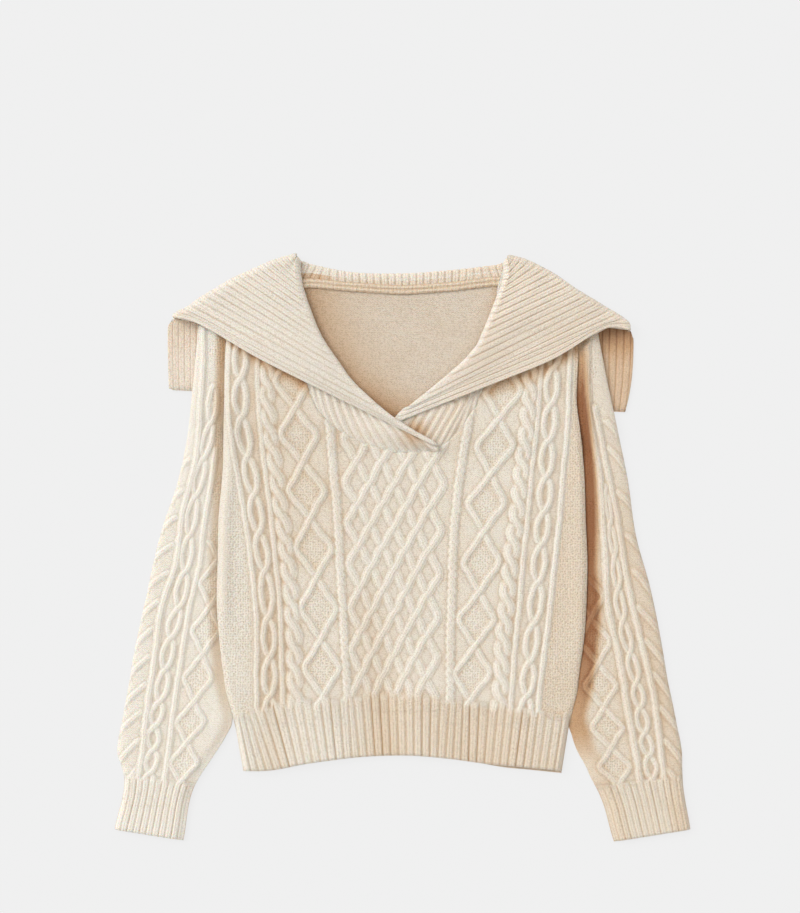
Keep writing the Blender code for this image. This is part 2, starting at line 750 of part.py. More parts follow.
def leaf_level(x, side):
    """Middle of the leaf above the lifted table."""
    if side < 0:
        return LEAF_LEVEL + (OVERLAP_LEAF_LEVEL - LEAF_LEVEL) * ease((x + 70) / 50)
    return TIP_LEAF_LEVEL + (LEAF_LEVEL - TIP_LEAF_LEVEL) * ease((x - 35) / 45)


def rib_course(rib):
    """Places along one line of the collar, from the seam to the free edge."""
    to_fold = rib.fold - rib.sewn
    to_shoulder = rib.shoulder - rib.fold
    to_free = rib.free - rib.shoulder
    stand, leaf, back = (np.linalg.norm(way) for way in (to_fold, to_shoulder, to_free))
    low = COLLAR_CLOTH / 2
    level = {}
    if rib.fronted:
        fold_round = min(FOLD_ROUND, 0.4 * leaf, 0.4 * stand)
        shoulder_round = min(SHOULDER_ROUND, 0.45 * leaf)
        level["sewn"] = STAND_LEVEL
    else:
        fold_round = 0.2 * stand
        shoulder_round = min(FOLD_ROUND, 0.45 * leaf)
        level["sewn"] = BACK_STAND_LEVEL
    inland = min(14.0, 0.4 * stand)
    rise_at = rib.sewn + to_fold * inland / stand
    near_fold = rib.fold - to_fold * fold_round / stand
    leaf_start = rib.fold + to_shoulder * fold_round / leaf
    leaf_end = rib.shoulder - to_shoulder * shoulder_round / leaf

    def high(point, kind):
        if not rib.fronted:
            return COLLAR_LIFT + BACK_STAND_LEVEL
        wanted = stand_level if kind == "stand" else leaf_level
        return float(table_lift(*point, COLLAR_AHEAD) + wanted(point[0], rib.side))

    course = [(*rib.sewn, float(table_lift(*rib.sewn, COLLAR_AHEAD)) + level["sewn"])]
    course.append((*rise_at, high(rise_at, "stand")))
    half_way = 0.5 * (rise_at + near_fold)
    course.append((*half_way, high(half_way, "stand")))
    course.append((*near_fold, high(near_fold, "stand")))
    middle = 0.5 * (high(near_fold, "stand") + high(leaf_start, "leaf"))
    course.append((*rib.fold, middle))
    for share in LEAF_SHARES:
        point = leaf_start + (leaf_end - leaf_start) * share
        course.append((*point, high(point, "leaf")))
    top = course[-1][2]
    for turn in (45, 0, -90):
        inward = shoulder_round * (1 - np.cos(np.radians(turn)))
        way = -to_shoulder / leaf if turn > 0 else to_free / back
        point = rib.shoulder + way * inward
        height = low + 0.5 * (top - low) * (1 + np.sin(np.radians(turn)))
        course.append((*point, height))
    course.append((*rib.free, low))
    return course


def wall_normals(middle):
    """Unit normals of a grid of places, towards the leaf's upper side."""
    along = np.gradient(middle, axis=0)
    across = np.gradient(middle, axis=1)
    normal = np.cross(across, along)
    return normal / np.linalg.norm(normal, axis=2, keepdims=True)


def build_collar(collection):
    """The collar: one ribbed sheet, sewn to the neck, folded and laid over the shoulders."""
    courses = [rib_course(rib) for rib in collar_ribs()]
    middle = np.array(courses).transpose(1, 0, 2)
    normals = wall_normals(middle)
    half = COLLAR_CLOTH / 2
    lines = middle.shape[1]
    crest = np.where(np.arange(lines) % 2 == 1, 1.0, 0.0)
    ribs = np.arange(lines) / 2
    behind = (ribs > LEAF_RIBS) & (ribs < LEAF_RIBS + BACK_NECK_RIBS)
    upper = np.array(UPPER_SHARES)[:, None]
    upper = upper * np.where(behind, 1.0, (np.arange(len(UPPER_SHARES)) > 3)[:, None])
    outer = middle + normals * (half + COLLAR_RIB_RISE * upper * crest)[..., None]
    tips = np.clip(1.6 - np.minimum(ribs, ribs[-1] - ribs) / 7, 0.0, 1.0)
    lower = np.array(LOWER_SHARES)[:, None] * tips
    inner = middle - normals * (half + 0.5 * COLLAR_RIB_RISE * lower * crest)[..., None]
    inner = inner[list(INNER_ROWS)]
    outer[-2:, :, 2] = 0.0
    inner[-2:, :, 2] = np.maximum(inner[-2:, :, 2], COLLAR_CLOTH - 0.2)
    return build_wall("collar", outer, inner, collection, WOOL)


def build_band(collection):
    """The linked seam behind the neck: two ridges over the join of back and collar."""
    x = np.linspace(BAND_ENDS[0], BAND_ENDS[1], 15)
    y = np.interp(x, BACK_NECK_X, BACK_NECK_Y)
    low = COLLAR_LIFT + CLOTH + LAYER_GAP
    profile = ((-1.0, 0.8), (-0.5, 2.1), (0.0, 1.3), (0.5, 2.1), (1.0, 0.8))
    rows = [np.stack([x, y + side * BAND_HALF, np.full_like(x, low + rise)], axis=1)
            for side, rise in profile]
    outer = np.array(rows)
    inner = outer[[0, -1]].copy()
    inner[..., 2] = low
    return build_wall("neck_seam_band", outer, inner, collection, WOOL_SHADE)


def main():
    """Clears the scene and builds the sweater."""
    for item in list(bpy.data.objects):
        bpy.data.objects.remove(item, do_unlink=True)
    collection = bpy.data.collections.new("cable_knit_sweater")
    bpy.context.scene.collection.children.link(collection)
    build_back(collection)
    build_front(collection)
    build_sleeve("sleeve_left", LEFT_SLEEVE, collection)
    build_sleeve("sleeve_right", RIGHT_SLEEVE, collection)
    build_collar(collection)
    build_band(collection)


main()
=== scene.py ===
"""Looks of a cable knit sweater laid out flat: cloth, stitches, wool, floor and light.

Sizes in the tables are in millimetres in the frame of the solids: +X to the side of the
wearer's left sleeve, +Y from the hem to the neck, +Z up from the table. Meshes are in
metres. Each piece of cloth is a wall: a dense outer face that carries the stitches and
a plain inner face, joined round their sides.
"""

import logging
import math
from dataclasses import dataclass, field
from enum import Enum

import bmesh
import bpy
import numpy as np
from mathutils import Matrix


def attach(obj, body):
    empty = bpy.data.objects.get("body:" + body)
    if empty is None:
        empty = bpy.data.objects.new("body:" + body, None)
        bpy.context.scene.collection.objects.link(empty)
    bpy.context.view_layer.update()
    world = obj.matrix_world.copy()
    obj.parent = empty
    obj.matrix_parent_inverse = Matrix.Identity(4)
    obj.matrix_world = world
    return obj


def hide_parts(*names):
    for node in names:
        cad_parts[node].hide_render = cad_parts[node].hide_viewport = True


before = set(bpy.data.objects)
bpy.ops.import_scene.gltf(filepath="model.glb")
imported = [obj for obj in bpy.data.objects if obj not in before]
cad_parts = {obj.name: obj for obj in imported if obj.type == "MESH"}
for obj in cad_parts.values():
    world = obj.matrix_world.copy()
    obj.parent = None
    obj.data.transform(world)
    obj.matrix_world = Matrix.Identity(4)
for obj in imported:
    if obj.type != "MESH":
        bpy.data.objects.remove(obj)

Table = tuple[float, ...]
Colour = tuple[float, float, float]
Point = tuple[float, float]
Socket = bpy.types.NodeSocket

LOG = logging.getLogger("sweater")
MM = 0.001
CLOTH = 3.2  # thickness of the cable knit, without its cables
COLLAR_CLOTH = 3.0
LAYER_GAP = 0.8
EDGE_ROLL = 8.0  # width over which a side edge rounds down
COLLAR_LIFT = 3.9  # how far the collar's back part lifts what lies on it
FRONT_AHEAD = 18.0
COLLAR_AHEAD = 26.0

# Tables of the laid-out shape ----------------------------------------------------

BODY_HEIGHT = (-197, -173, -142, -108, -61, -24, 32, 90, 130, 171, 223, 273)
BODY_LEFT = (-196, -204, -209, -213, -216, -215, -214, -209, -208, -207, -206, -202)
BODY_RIGHT = (195, 202, 206, 211, 214, 215, 213, 211, 207, 202, 204, 201)
HEM_X = (-185, -161, -107, -37, 6, 56, 100, 146, 185)
HEM_Y = (-260, -260, -251, -243, -242, -246, -252, -256, -260)
RIB_TOP_X = (-197, -136, -88, -37, 10, 71, 122, 195)
RIB_TOP_Y = (-197, -183, -178, -172, -172, -181, -187, -197)
SHOULDER_X = (-202, -116, 113, 201)
SHOULDER_Y = (273, 312, 315, 271)
NECK_X = (-118, -117, -114, -100, -82, -44, -5, 39, 63, 86, 102, 113)
NECK_Y = (310, 246, 200, 162, 142, 121, 111, 113, 133, 166, 235, 315)
BACK_NECK_X = (-202, -112, -62, 0, 57, 111, 201)
BACK_NECK_Y = (273, 306, 301, 297, 301, 308, 271)
LEAF_EDGE_X = (-264, -246, -216, -192, -158, -111, -62, -14, 39, 57, 106, 154, 202, 226, 266)
LEAF_EDGE_Y = (267, 266, 253, 236, 216, 188, 162, 140, 114, 164, 183, 202, 229, 244, 256)
FREE_LEFT = (-272, 183)
FREE_RIGHT = (264, 157)
MIDDLE_HEIGHT = (-182, -61, 55, 155, 290)


# Curves --------------------------------------------------------------------------


def flow(at: np.ndarray | float, places: Table, values: Table) -> np.ndarray:
    """Smooth curve through a table's rows, level past its ends.

    Args:
        at: Where the curve is wanted.
        places: Rising places of the table's rows.
        values: Values of the rows.

    Returns:
        The curve's values.
    """
    knots = np.asarray(places, float)
    levels = np.asarray(values, float)
    slopes = np.gradient(levels, knots)
    at = np.clip(at, knots[0], knots[-1])
    cell = np.clip(np.searchsorted(knots, at, side="right") - 1, 0, len(knots) - 2)
    span = knots[cell + 1] - knots[cell]
    t = (at - knots[cell]) / span
    start = (1 + 2 * t) * (1 - t) ** 2 * levels[cell] + t * (1 - t) ** 2 * span * slopes[cell]
    end = t * t * (3 - 2 * t) * levels[cell + 1] + t * t * (t - 1) * span * slopes[cell + 1]
    return start + end


def ease(share: np.ndarray | float) -> np.ndarray:
    """Soft step from 0 to 1."""
    share = np.clip(share, 0.0, 1.0)
    return share * share * (3 - 2 * share)


def grain(x: np.ndarray, y: np.ndarray) -> np.ndarray:
    """Uneven values of -1 to 1 from place to place, the same on every run."""
    return np.sin(91.7 * x + 47.3 * y) * np.cos(37.1 * x - 63.9 * y)


def hill(at: np.ndarray | float, middle: float, width: float) -> np.ndarray:
    """Bell of height 1 round a middle."""
    return np.exp(-(((at - middle) / width) ** 2))


def wobble(along: np.ndarray, seed: float) -> np.ndarray:
    """Small uneven wander of a hand-laid line, in millimetres."""
    slow = np.sin(along / 17.3 + seed) + 0.6 * np.sin(along / 6.7 + 2.3 * seed)
    return 0.32 * slow + 0.2 * np.sin(along / 2.9 + 4.1 * seed)


def round_turn(distance: np.ndarray, reach: float) -> np.ndarray:
    """Rounds the tip of a zigzag.

    Args:
        distance: Distance from the tip's own height, 0 at the tip.
        reach: Distance over which the tip is rounded.

    Returns:
        The way in from the tip, which starts level and ends at the distance.
    """
    t = np.clip(distance / reach, 0.0, 1.0)
    return np.where(distance < reach, reach * (2 * t * t - t**3), distance)


def free_edge(x: np.ndarray | float) -> np.ndarray:
    """Height of the free edge of the collar's back part at x."""
    return np.interp(x, (FREE_LEFT[0], FREE_RIGHT[0]), (FREE_LEFT[1], FREE_RIGHT[1]))


def table_lift(x: np.ndarray, y: np.ndarray, ahead: float = 0.0) -> np.ndarray:
    """How far a layer above the collar's back part is lifted off the table.

    Args:
        x: Places across.
        y: Places up the garment.
        ahead: How much sooner than the lowest layer this one starts to climb.

    Returns:
        The lift at each place.
    """
    return COLLAR_LIFT * ease((y + ahead - free_edge(x) + 50) / 42)


def quarter_round(inward: np.ndarray, start: float) -> np.ndarray:
    """Height of a rounded rim, from its start at the edge to 1 where inward is 1."""
    inward = np.clip(inward, 0.0, 1.0)
    return start + (1 - start) * np.sqrt(1 - (1 - inward) ** 2)


def phase(y: np.ndarray, crossings: Table, spare: int = 20) -> np.ndarray:
    """Counts the crossings passed, run on evenly past both ends.

    Args:
        y: Heights.
        crossings: Rising heights of the crossings.
        spare: How many crossings are added past each end.

    Returns:
        The count at each height, whole at a crossing.
    """
    count = np.arange(len(crossings), dtype=float)
    first = crossings[1] - crossings[0]
    last = crossings[-1] - crossings[-2]
    places = (crossings[0] - spare * first, *crossings, crossings[-1] + spare * last)
    return np.interp(y, places, (-spare, *count, count[-1] + spare))


def blurred(field_of: np.ndarray, rows: int, columns: int) -> np.ndarray:
    """Box mean of a grid of numbers, twice over, with its rims held.

    Args:
        field_of: The grid.
        rows: Half height of the box, in cells.
        columns: Half width of the box, in cells.

    Returns:
        The softened grid.
    """
    for axis, half in ((0, rows), (1, columns), (0, rows), (1, columns)):
        pad = [(0, 0), (0, 0)]
        pad[axis] = (half + 1, half)
        sums = np.cumsum(np.pad(field_of, pad, mode="edge"), axis=axis)
        size = 2 * half + 1
        high = np.take(sums, range(size, sums.shape[axis]), axis=axis)
        low = np.take(sums, range(sums.shape[axis] - size), axis=axis)
        field_of = (high - low) / size
    return field_of


# Cords of stitches ---------------------------------------------------------------


@dataclass(frozen=True)
class Strand:
    """One raised cord of stitches that runs up a piece.

    The place, and the share of the rise that shows, are given at rising heights.
    """

    heights: np.ndarray
    places: np.ndarray
    levels: np.ndarray
    radius: float
    rise: float

    def lie(self, x: np.ndarray, y: np.ndarray) -> tuple[np.ndarray, ...]:
        """Finds the points that the cord covers.

        Args:
            x: Places across of all points.
            y: Places up of all points.

        Returns:
            Index of the points near the cord, their distance across it, their
            distance along it, and how high it stands there.
        """
        slope = np.gradient(self.places, self.heights)
        steps = np.hypot(np.diff(self.heights), np.diff(self.places))
        arc = np.concatenate([[0.0], np.cumsum(steps)])
        gap = x - np.interp(y, self.heights, self.places)
        inside = (y > self.heights[0]) & (y < self.heights[-1])
        near = np.flatnonzero((abs(gap) < 2.4 * self.radius) & inside)
        x, y, gap = x[near], y[near], gap[near]
        foot = y
        for _ in range(2):
            lean = np.interp(foot, self.heights, slope)
            gap = x - np.interp(foot, self.heights, self.places)
            foot = foot + (gap * lean + (y - foot)) / (1 + lean**2)
        place = np.interp(foot, self.heights, self.places)
        across = np.hypot(x - place, y - foot) * np.sign(x - place)
        edge = across + 0.4 * grain(x, y)
        crown = np.clip(1 - (edge / self.radius) ** 2, 0.0, 1.0) ** 1.5
        lift = self.rise * crown * np.interp(foot, self.heights, self.levels)
        lift = lift * ease(np.minimum(y - self.heights[0], self.heights[-1] - y) / 7)
        return near, across, np.interp(foot, self.heights, arc), lift


@dataclass
class Relief:
    """What the stitches do at each point of a face: height, kind and direction."""

    height: np.ndarray
    knit: np.ndarray
    across: np.ndarray
    along: np.ndarray

    @classmethod
    def plain(cls, across: np.ndarray, along: np.ndarray) -> "Relief":
        """Ground stitches with no cord on them yet."""
        flat = np.zeros_like(across)
        return cls(flat.copy(), flat.copy(), across.copy(), along.copy())

    def add(self, strands: list[Strand], x: np.ndarray, y: np.ndarray) -> None:
        """Lays cords on the face, the higher one on top where two meet.

        Args:
            strands: The cords.
            x: Places across of the face's points.
            y: Places up of the face's points.
        """
        for strand in strands:
            near, across, along, lift = strand.lie(x, y)
            over = lift > self.height[near]
            here = near[over]
            self.height[here] = lift[over]
            self.knit[here] = np.clip(lift[over] / (0.45 * strand.rise), 0.0, 1.0)
            self.across[here] = across[over]
            self.along[here] = along[over]


class Cable(Enum):
    """The kinds of cable column."""

    RIDGE = "one upright wale of knit stitches"
    ROPE = "two cords in a tight twist"
    CHAIN = "two cords that cross and part in loops"
    DIAMOND = "two cords that cross and part in lozenges"


@dataclass(frozen=True)
class Column:
    """A column of one cable: its middle line, half width, crossings and cord."""

    kind: Cable
    heights: Table
    middle: Table
    half: Table = (0.0, 0.0)
    crossings: Table = (0.0, 1.0)
    radius: float = 3.1
    rise: float = 2.6
    low: float = -205.0
    high: float = 300.0

    def spread(self, y: np.ndarray) -> np.ndarray:
        """Half width of the column at heights y."""
        ends = np.linspace(self.heights[0], self.heights[-1], len(self.half))
        return np.interp(y, ends, self.half)

    def parted(self, y: np.ndarray) -> np.ndarray:
        """How far the two cords have parted.

        Args:
            y: Heights.

        Returns:
            Shares of the half width: 0 at a crossing, 1 at the widest.
        """
        turns = phase(y, self.crossings)
        if self.kind is Cable.CHAIN:
            return abs(np.sin(np.pi * turns)) ** 0.7
        tip = abs((turns % 1) - 0.5) * 2
        return 1 - round_turn(tip, 0.5)

    def lozenge(self, x: np.ndarray, y: np.ndarray) -> np.ndarray:
        """Finds the ground that the two cords enclose.

        Args:
            x: Places across.
            y: Places up.

        Returns:
            Shares from 0, outside or on a cord, to 1, inside.
        """
        middle = flow(y, self.heights, self.middle)
        inside = self.spread(y) * self.parted(y) - 2 - abs(x - middle)
        return ease(inside / 1.5)

    def strands(self) -> list[Strand]:
        """Builds the cords of the column.

        Returns:
            One cord for a ridge, and two for any other kind.
        """
        y = np.arange(self.low, self.high, 0.7)
        middle = flow(y, self.heights, self.middle) + wobble(y, self.middle[0])
        turns = phase(y, self.crossings)
        if self.kind is Cable.RIDGE:
            shapes = [(0.0, np.ones_like(y))]
        elif self.kind is Cable.ROPE:
            swing = self.spread(y) * np.cos(np.pi * turns)
            tilt = np.minimum(0.46, 0.11 * self.spread(y)) * np.sin(np.pi * turns)
            shapes = [(swing, 0.86 + tilt), (-swing, 0.86 - tilt)]
        else:
            away = self.spread(y) * self.parted(y) * np.where(np.floor(turns) % 2 == 0, 1.0, -1.0)
            nearest = np.round(turns)
            steps = np.diff(self.crossings)
            gap = abs(turns - nearest) * np.interp(nearest, np.arange(len(steps)), steps)
            dip = 1 - 0.72 * hill(gap, 0.0, 1.5 * self.radius)
            rising = nearest % 2 == 0
            shapes = [(away, np.where(rising, 1.0, dip)), (-away, np.where(rising, dip, 1.0))]
        return [Strand(y, middle + off, level, self.radius, self.rise) for off, level in shapes]


@dataclass(frozen=True)
class Lattice:
    """The middle panel: cords that run from side to side and cross all the way."""

    heights: Table = (-172, -71, 28, 75, 127)
    left: Table = (-59, -61, -64.5, -67, -68.5)
    right: Table = (38, 41, 44, 47, 49.5)
    left_kinks: Table = (-172, -120, -71, -19, 28, 75, 127)
    right_kinks: Table = (-177, -128, -81, -31, 19, 72, 124)
    cells: int = 8
    radius: float = 5.9
    rise: float = 2.0
    turn_reach: float = 0.75
    sway: float = 0.04

    def strands(self) -> list[Strand]:
        """Builds cords that zigzag over the whole panel.

        Returns:
            The cords; where two cross, the one that rises to +X passes over.
        """
        y = np.arange(-190.0, 150.0, 0.6)
        left = flow(y, self.heights, self.left)
        right = flow(y, self.heights, self.right)
        one, two = phase(y, self.left_kinks), phase(y, self.right_kinks)
        found = []
        for cord in range(self.cells):
            cell = np.full_like(y, self.cells / 2)
            for _ in range(8):
                share = cell / self.cells
                turns = 2 * ((1 - share) * one + share * two) + 2 * cord
                way = turns % (2 * self.cells)
                cell = np.minimum(way, 2 * self.cells - way)
            rising = way < self.cells
            inside = round_turn(np.minimum(cell, self.cells - cell), self.turn_reach)
            cell = np.where(cell < self.cells / 2, inside, self.cells - inside)
            gap = abs(cell - np.round(cell)) * (right - left) / self.cells
            crosses = np.round(cell) % self.cells != 0
            dip = 1 - 0.55 * hill(gap, 0.0, 3.2) * crosses
            cell = cell + self.sway * np.sin(2 * math.pi * cell) * crosses
            place = left + (right - left) * cell / self.cells + wobble(y, 3.1 * cord)
            level = np.where(rising, 1.0, 0.78 * dip)
            found.append(Strand(y, place, level, self.radius, self.rise))
        return found


# Wool ----------------------------------------------------------------------------


class Graph:
    """Short ways to place shader nodes in a material."""

    def __init__(self, material: bpy.types.Material) -> None:
        """Starts from an empty node tree.

        Args:
            material: The material whose nodes are built.
        """
        material.use_nodes = True
        self.tree = material.node_tree
        self.tree.nodes.clear()

    def node(self, kind: str, **settings: object) -> bpy.types.Node:
        """Adds a node.

        Args:
            kind: Blender's name of the node type, without ShaderNode.
            settings: Properties of the node.

        Returns:
            The node.
        """
        made = self.tree.nodes.new("ShaderNode" + kind)
        for name, value in settings.items():
            setattr(made, name, value)
        return made

    def link(self, source: Socket, target: Socket) -> None:
        """Joins two sockets."""
        self.tree.links.new(source, target)

    def put(self, node: bpy.types.Node, **values: object) -> None:
        """Sets sockets, named with _ for a space, from numbers or other sockets."""
        for name, value in values.items():
            self.feed(node.inputs[name.replace("_", " ")], value)

    def feed(self, socket: Socket, value: object) -> None:
        """Sets a socket from a number or from another socket.

        Args:
            socket: The socket to set.
            value: A number, a colour or the socket to read.
        """
        if isinstance(value, bpy.types.NodeSocket):
            self.link(value, socket)
        else:
            socket.default_value = value

    def math(self, operation: str, *values: object) -> Socket:
        """Works with numbers and sockets.

        Args:
            operation: The Math node's operation.
            values: One to three numbers or sockets.

        Returns:
            The result.
        """
        made = self.node("Math", operation=operation)
        for socket, value in zip(made.inputs, values):
            self.feed(socket, value)
        return made.outputs[0]

    def plus(self, first: object, second: object) -> Socket:
        """The sum of two values."""
        return self.math("ADD", first, second)

    def minus(self, first: object, second: object) -> Socket:
        """The first value less the second."""
        return self.math("SUBTRACT", first, second)

    def times(self, first: object, second: object) -> Socket:
        """The product of two values."""
        return self.math("MULTIPLY", first, second)

    def share(self, value: object) -> Socket:
        """The value kept between 0 and 1."""
        return self.math("MINIMUM", self.math("MAXIMUM", value, 0.0), 1.0)

    def mix(self, share: object, first: object, second: object, blend: str = "MIX") -> Socket:
        """Mixes two colours.

        Args:
            share: How much of the second colour goes in.
            first: The colour that is mixed into.
            second: The colour that is mixed in.
            blend: How the two are mixed.

        Returns:
            The mixed colour.
        """
        made = self.node("Mix", data_type="RGBA", blend_type=blend)
        for index, value in ((0, share), (6, first), (7, second)):
            self.feed(made.inputs[index], value)
        return made.outputs[2]

    def fact(self, name: str) -> Socket:
        """A number that the mesh carries at each of its points."""
        return self.node("Attribute", attribute_name=name).outputs["Fac"]

    def noise(self, where: Socket, scale: float, detail: float) -> Socket:
        """Makes soft noise.

        Args:
            where: Coordinates, in metres.
            scale: Blots to the metre.
            detail: Octaves of finer noise.

        Returns:
            Values round 0.5.
        """
        made = self.node("TexNoise")
        self.put(made, Vector=where, Scale=scale, Detail=detail)
        return made.outputs[0]


@dataclass(frozen=True)
class Wool:
    """Brushed wool yarn: its colours, the colours of its painted shade, nap, and the depth of its
    stitch bumps.

    Wales, courses and the moss pitch are in millimetres; the noises are in blots to
    the metre.
    """

    name: str
    light: Colour
    ground: Colour
    # colours of the painted shade, from light to dark, for the shade ramp in colour()
    painted_shade_soft: Colour = (0.89, 0.785, 0.68)
    painted_shade_mid: Colour = (0.71, 0.49, 0.32)
    painted_shade_dark: Colour = (0.36, 0.16, 0.075)
    # speck is also the colour that the painted shade of the stitch pits is mixed in with
    speck: Colour = (0.56, 0.48, 0.38)
    glow: Colour = (1.0, 0.95, 0.86)
    grain: float = 1.9
    stitch_depth: float = 0.63
    wale: float = 3.3
    course: float = 2.5
    moss_pitch: float = 2.9
    wander_scale: float = 240.0
    fibre_scale: float = 1400.0
    fleck_scale: float = 760.0
    cloud_scale: float = 22.0

    def knit_and_purl(self, graph: Graph, where: Socket) -> tuple[Socket, Socket]:
        """Builds the height patterns of knit and of purl stitches.

        Args:
            graph: The node tree to build in.
            where: Coordinates of the noise.

        Returns:
            The two heights.
        """
        thread = graph.node("Attribute", attribute_name="thread")
        parts = graph.node("SeparateXYZ")
        graph.link(thread.outputs["Vector"], parts.inputs[0])
        wander = graph.minus(graph.noise(where, self.wander_scale, 2.0), 0.5)
        across = graph.plus(parts.outputs[0], graph.times(wander, 1.2))
        along = graph.plus(parts.outputs[1], graph.times(wander, 1.6))
        half = self.wale / 2
        leg = graph.math("DIVIDE", graph.math("PINGPONG", across, half), half)
        rows = graph.math("DIVIDE", along, self.course)
        slant = graph.minus(rows, graph.times(leg, 0.62))
        wave = graph.math("SINE", graph.times(slant, 2 * math.pi))
        split = graph.math("POWER", graph.minus(1.0, leg), 3.0)
        column = graph.math("SINE", graph.times(across, 2 * math.pi / self.wale))
        row = graph.times(graph.plus(rows, graph.times(column, 0.22)), 2 * math.pi)
        purl = graph.times(graph.math("SINE", row), 0.55)
        return graph.minus(graph.times(wave, 0.34), split), purl

    def moss(self, graph: Graph, where: Socket) -> Socket:
        """Builds the height pattern of moss stitch: rows of small round purls.

        Args:
            graph: The node tree to build in.
            where: Coordinates of the purls.

        Returns:
            The height.
        """
        cells = graph.node("TexVoronoi", voronoi_dimensions="2D")
        graph.put(cells, Vector=where, Scale=1000 / self.moss_pitch, Randomness=0.55)
        return graph.minus(graph.times(cells.outputs["Distance"], 3.2), 1.2)

    def height(self, graph: Graph, where: Socket) -> Socket:
        """Builds the height of the stitches and of the fibres on them.

        Args:
            graph: The node tree to build in.
            where: Coordinates of the noise.

        Returns:
            The height, about 1 from pit to crown.
        """
        knit, purl = self.knit_and_purl(graph, where)
        knit_share, moss_share = graph.fact("knit"), graph.fact("moss")
        base = graph.times(purl, graph.minus(1.0, moss_share))
        base = graph.plus(base, graph.times(self.moss(graph, where), moss_share))
        base = graph.times(base, graph.minus(1.0, knit_share))
        height = graph.plus(base, graph.times(knit, knit_share))
        fibre = graph.minus(graph.noise(where, self.fibre_scale, 3.0), 0.5)
        return graph.plus(height, graph.times(fibre, 2.0))

    def colour(self, graph: Graph, where: Socket, height: Socket) -> Socket:
        """Builds the colour: the yarn's own with its specks, painted shade in the stitch pits, and
        painted shade in the hollows.

        Args:
            graph: The node tree to build in.
            where: Coordinates of the noise.
            height: Height of the stitches.

        Returns:
            The colour.
        """
        # the purl ground gets a darker colour than the raised knit cords of the same yarn: painted
        # shade
        yarn = graph.mix(graph.fact("knit"), (*self.ground, 1.0), (*self.light, 1.0))
        # painted shade in the pits of the stitches, stronger in moss stitch, mixed in with the
        # random specks
        moss_pit_shade_gain = graph.plus(graph.times(graph.fact("moss"), 0.9), 1.0)
        painted_pit_shade = graph.times(graph.times(graph.minus(0.2, height), 0.26), moss_pit_shade_gain)
        fleck = graph.noise(where, self.fleck_scale, 3.0)
        speck = graph.times(graph.minus(fleck, 0.47), self.grain)
        specks_and_pit_shade = graph.share(graph.plus(graph.math("MAXIMUM", painted_pit_shade, 0.0), speck))
        cloud = graph.noise(where, self.cloud_scale, 2.0)
        drift = graph.times(graph.minus(cloud, 0.5), 0.12)
        # the painted shade carried by the mesh, with a little random drift, picks a colour from the
        # shade ramp
        painted_shade_tone = graph.share(graph.plus(graph.math("POWER", graph.fact("painted_shade"), 1.35), drift))
        shade = graph.node("ValToRGB")
        stops = shade.color_ramp.elements
        stops[0].color, stops[1].color = (1.0, 1.0, 1.0, 1.0), (*self.painted_shade_dark, 1.0)
        for place, tint in ((0.25, self.painted_shade_soft), (0.6, self.painted_shade_mid)):
            stops.new(place).color = (*tint, 1.0)
        graph.link(painted_shade_tone, shade.inputs[0])
        specked = graph.mix(specks_and_pit_shade, yarn, (*self.speck, 1.0), "MULTIPLY")
        return graph.mix(1.0, specked, shade.outputs[0], "MULTIPLY")

    def material(self) -> bpy.types.Material:
        """Builds the Blender material.

        Returns:
            The material.
        """
        made = bpy.data.materials.new(self.name)
        graph = Graph(made)
        where = graph.node("TexCoord").outputs["Object"]
        height = self.height(graph, where)
        bump = graph.node("Bump")
        graph.put(bump, Strength=0.6, Distance=self.stitch_depth * MM, Height=height)
        shader = graph.node("BsdfPrincipled")
        graph.put(shader, Roughness=0.95, Specular_IOR_Level=0.15)
        graph.put(shader, Sheen_Weight=0.35, Sheen_Roughness=0.55, Sheen_Tint=(*self.glow, 1.0))
        graph.put(shader, Subsurface_Weight=0.3, Subsurface_Radius=(1.0, 0.55, 0.3))
        graph.put(shader, Subsurface_Scale=0.003, Normal=bump.outputs[0])
        graph.put(shader, Base_Color=self.colour(graph, where, height))
        output = graph.node("OutputMaterial")
        graph.put(output, Surface=shader.outputs[0])
        return made


CREAM = Wool("cream_wool", (0.882, 0.842, 0.762), (0.855, 0.802, 0.712))
LEAF = Wool("collar_wool", (0.908, 0.850, 0.764), (0.88, 0.81, 0.715))
# a lighter copy of the cream wool for the sleeve at -X: painted light
PAINTED_LIGHT_CREAM = Wool("painted_light_wool", (0.915, 0.878, 0.80), (0.895, 0.85, 0.765), grain=1.4)
# a darker copy of the cream wool for the back: painted shade on the inside that shows in the neck
SHADED = Wool("shaded_wool", (0.77, 0.695, 0.60), (0.75, 0.66, 0.555), grain=2.4)


# Meshes --------------------------------------------------------------------------


@dataclass
class Face:
    """One face of a wall: a grid of places, the stitch facts and the painted shade at each of them.
    """

    places: np.ndarray
    thread: np.ndarray
    knit: np.ndarray
    moss: np.ndarray
    # share of shade painted into the colour at each point: painted shade
    painted_shade: np.ndarray

    @classmethod
    def plain(
        cls, places: np.ndarray, painted_shade: np.ndarray | float = 0.0, knit: float = 0.0
    ) -> "Face":
        """A face of plain stitches.

        Args:
            places: Grid of places in millimetres.
            painted_shade: Share of shade, all over it or for each point.
            knit: Share of knit stitches, where 0 is purl.

        Returns:
            The face.
        """
        flat = np.zeros(places.shape[:2])
        return cls(places, places.copy(), flat + knit, flat.copy(), flat + painted_shade)


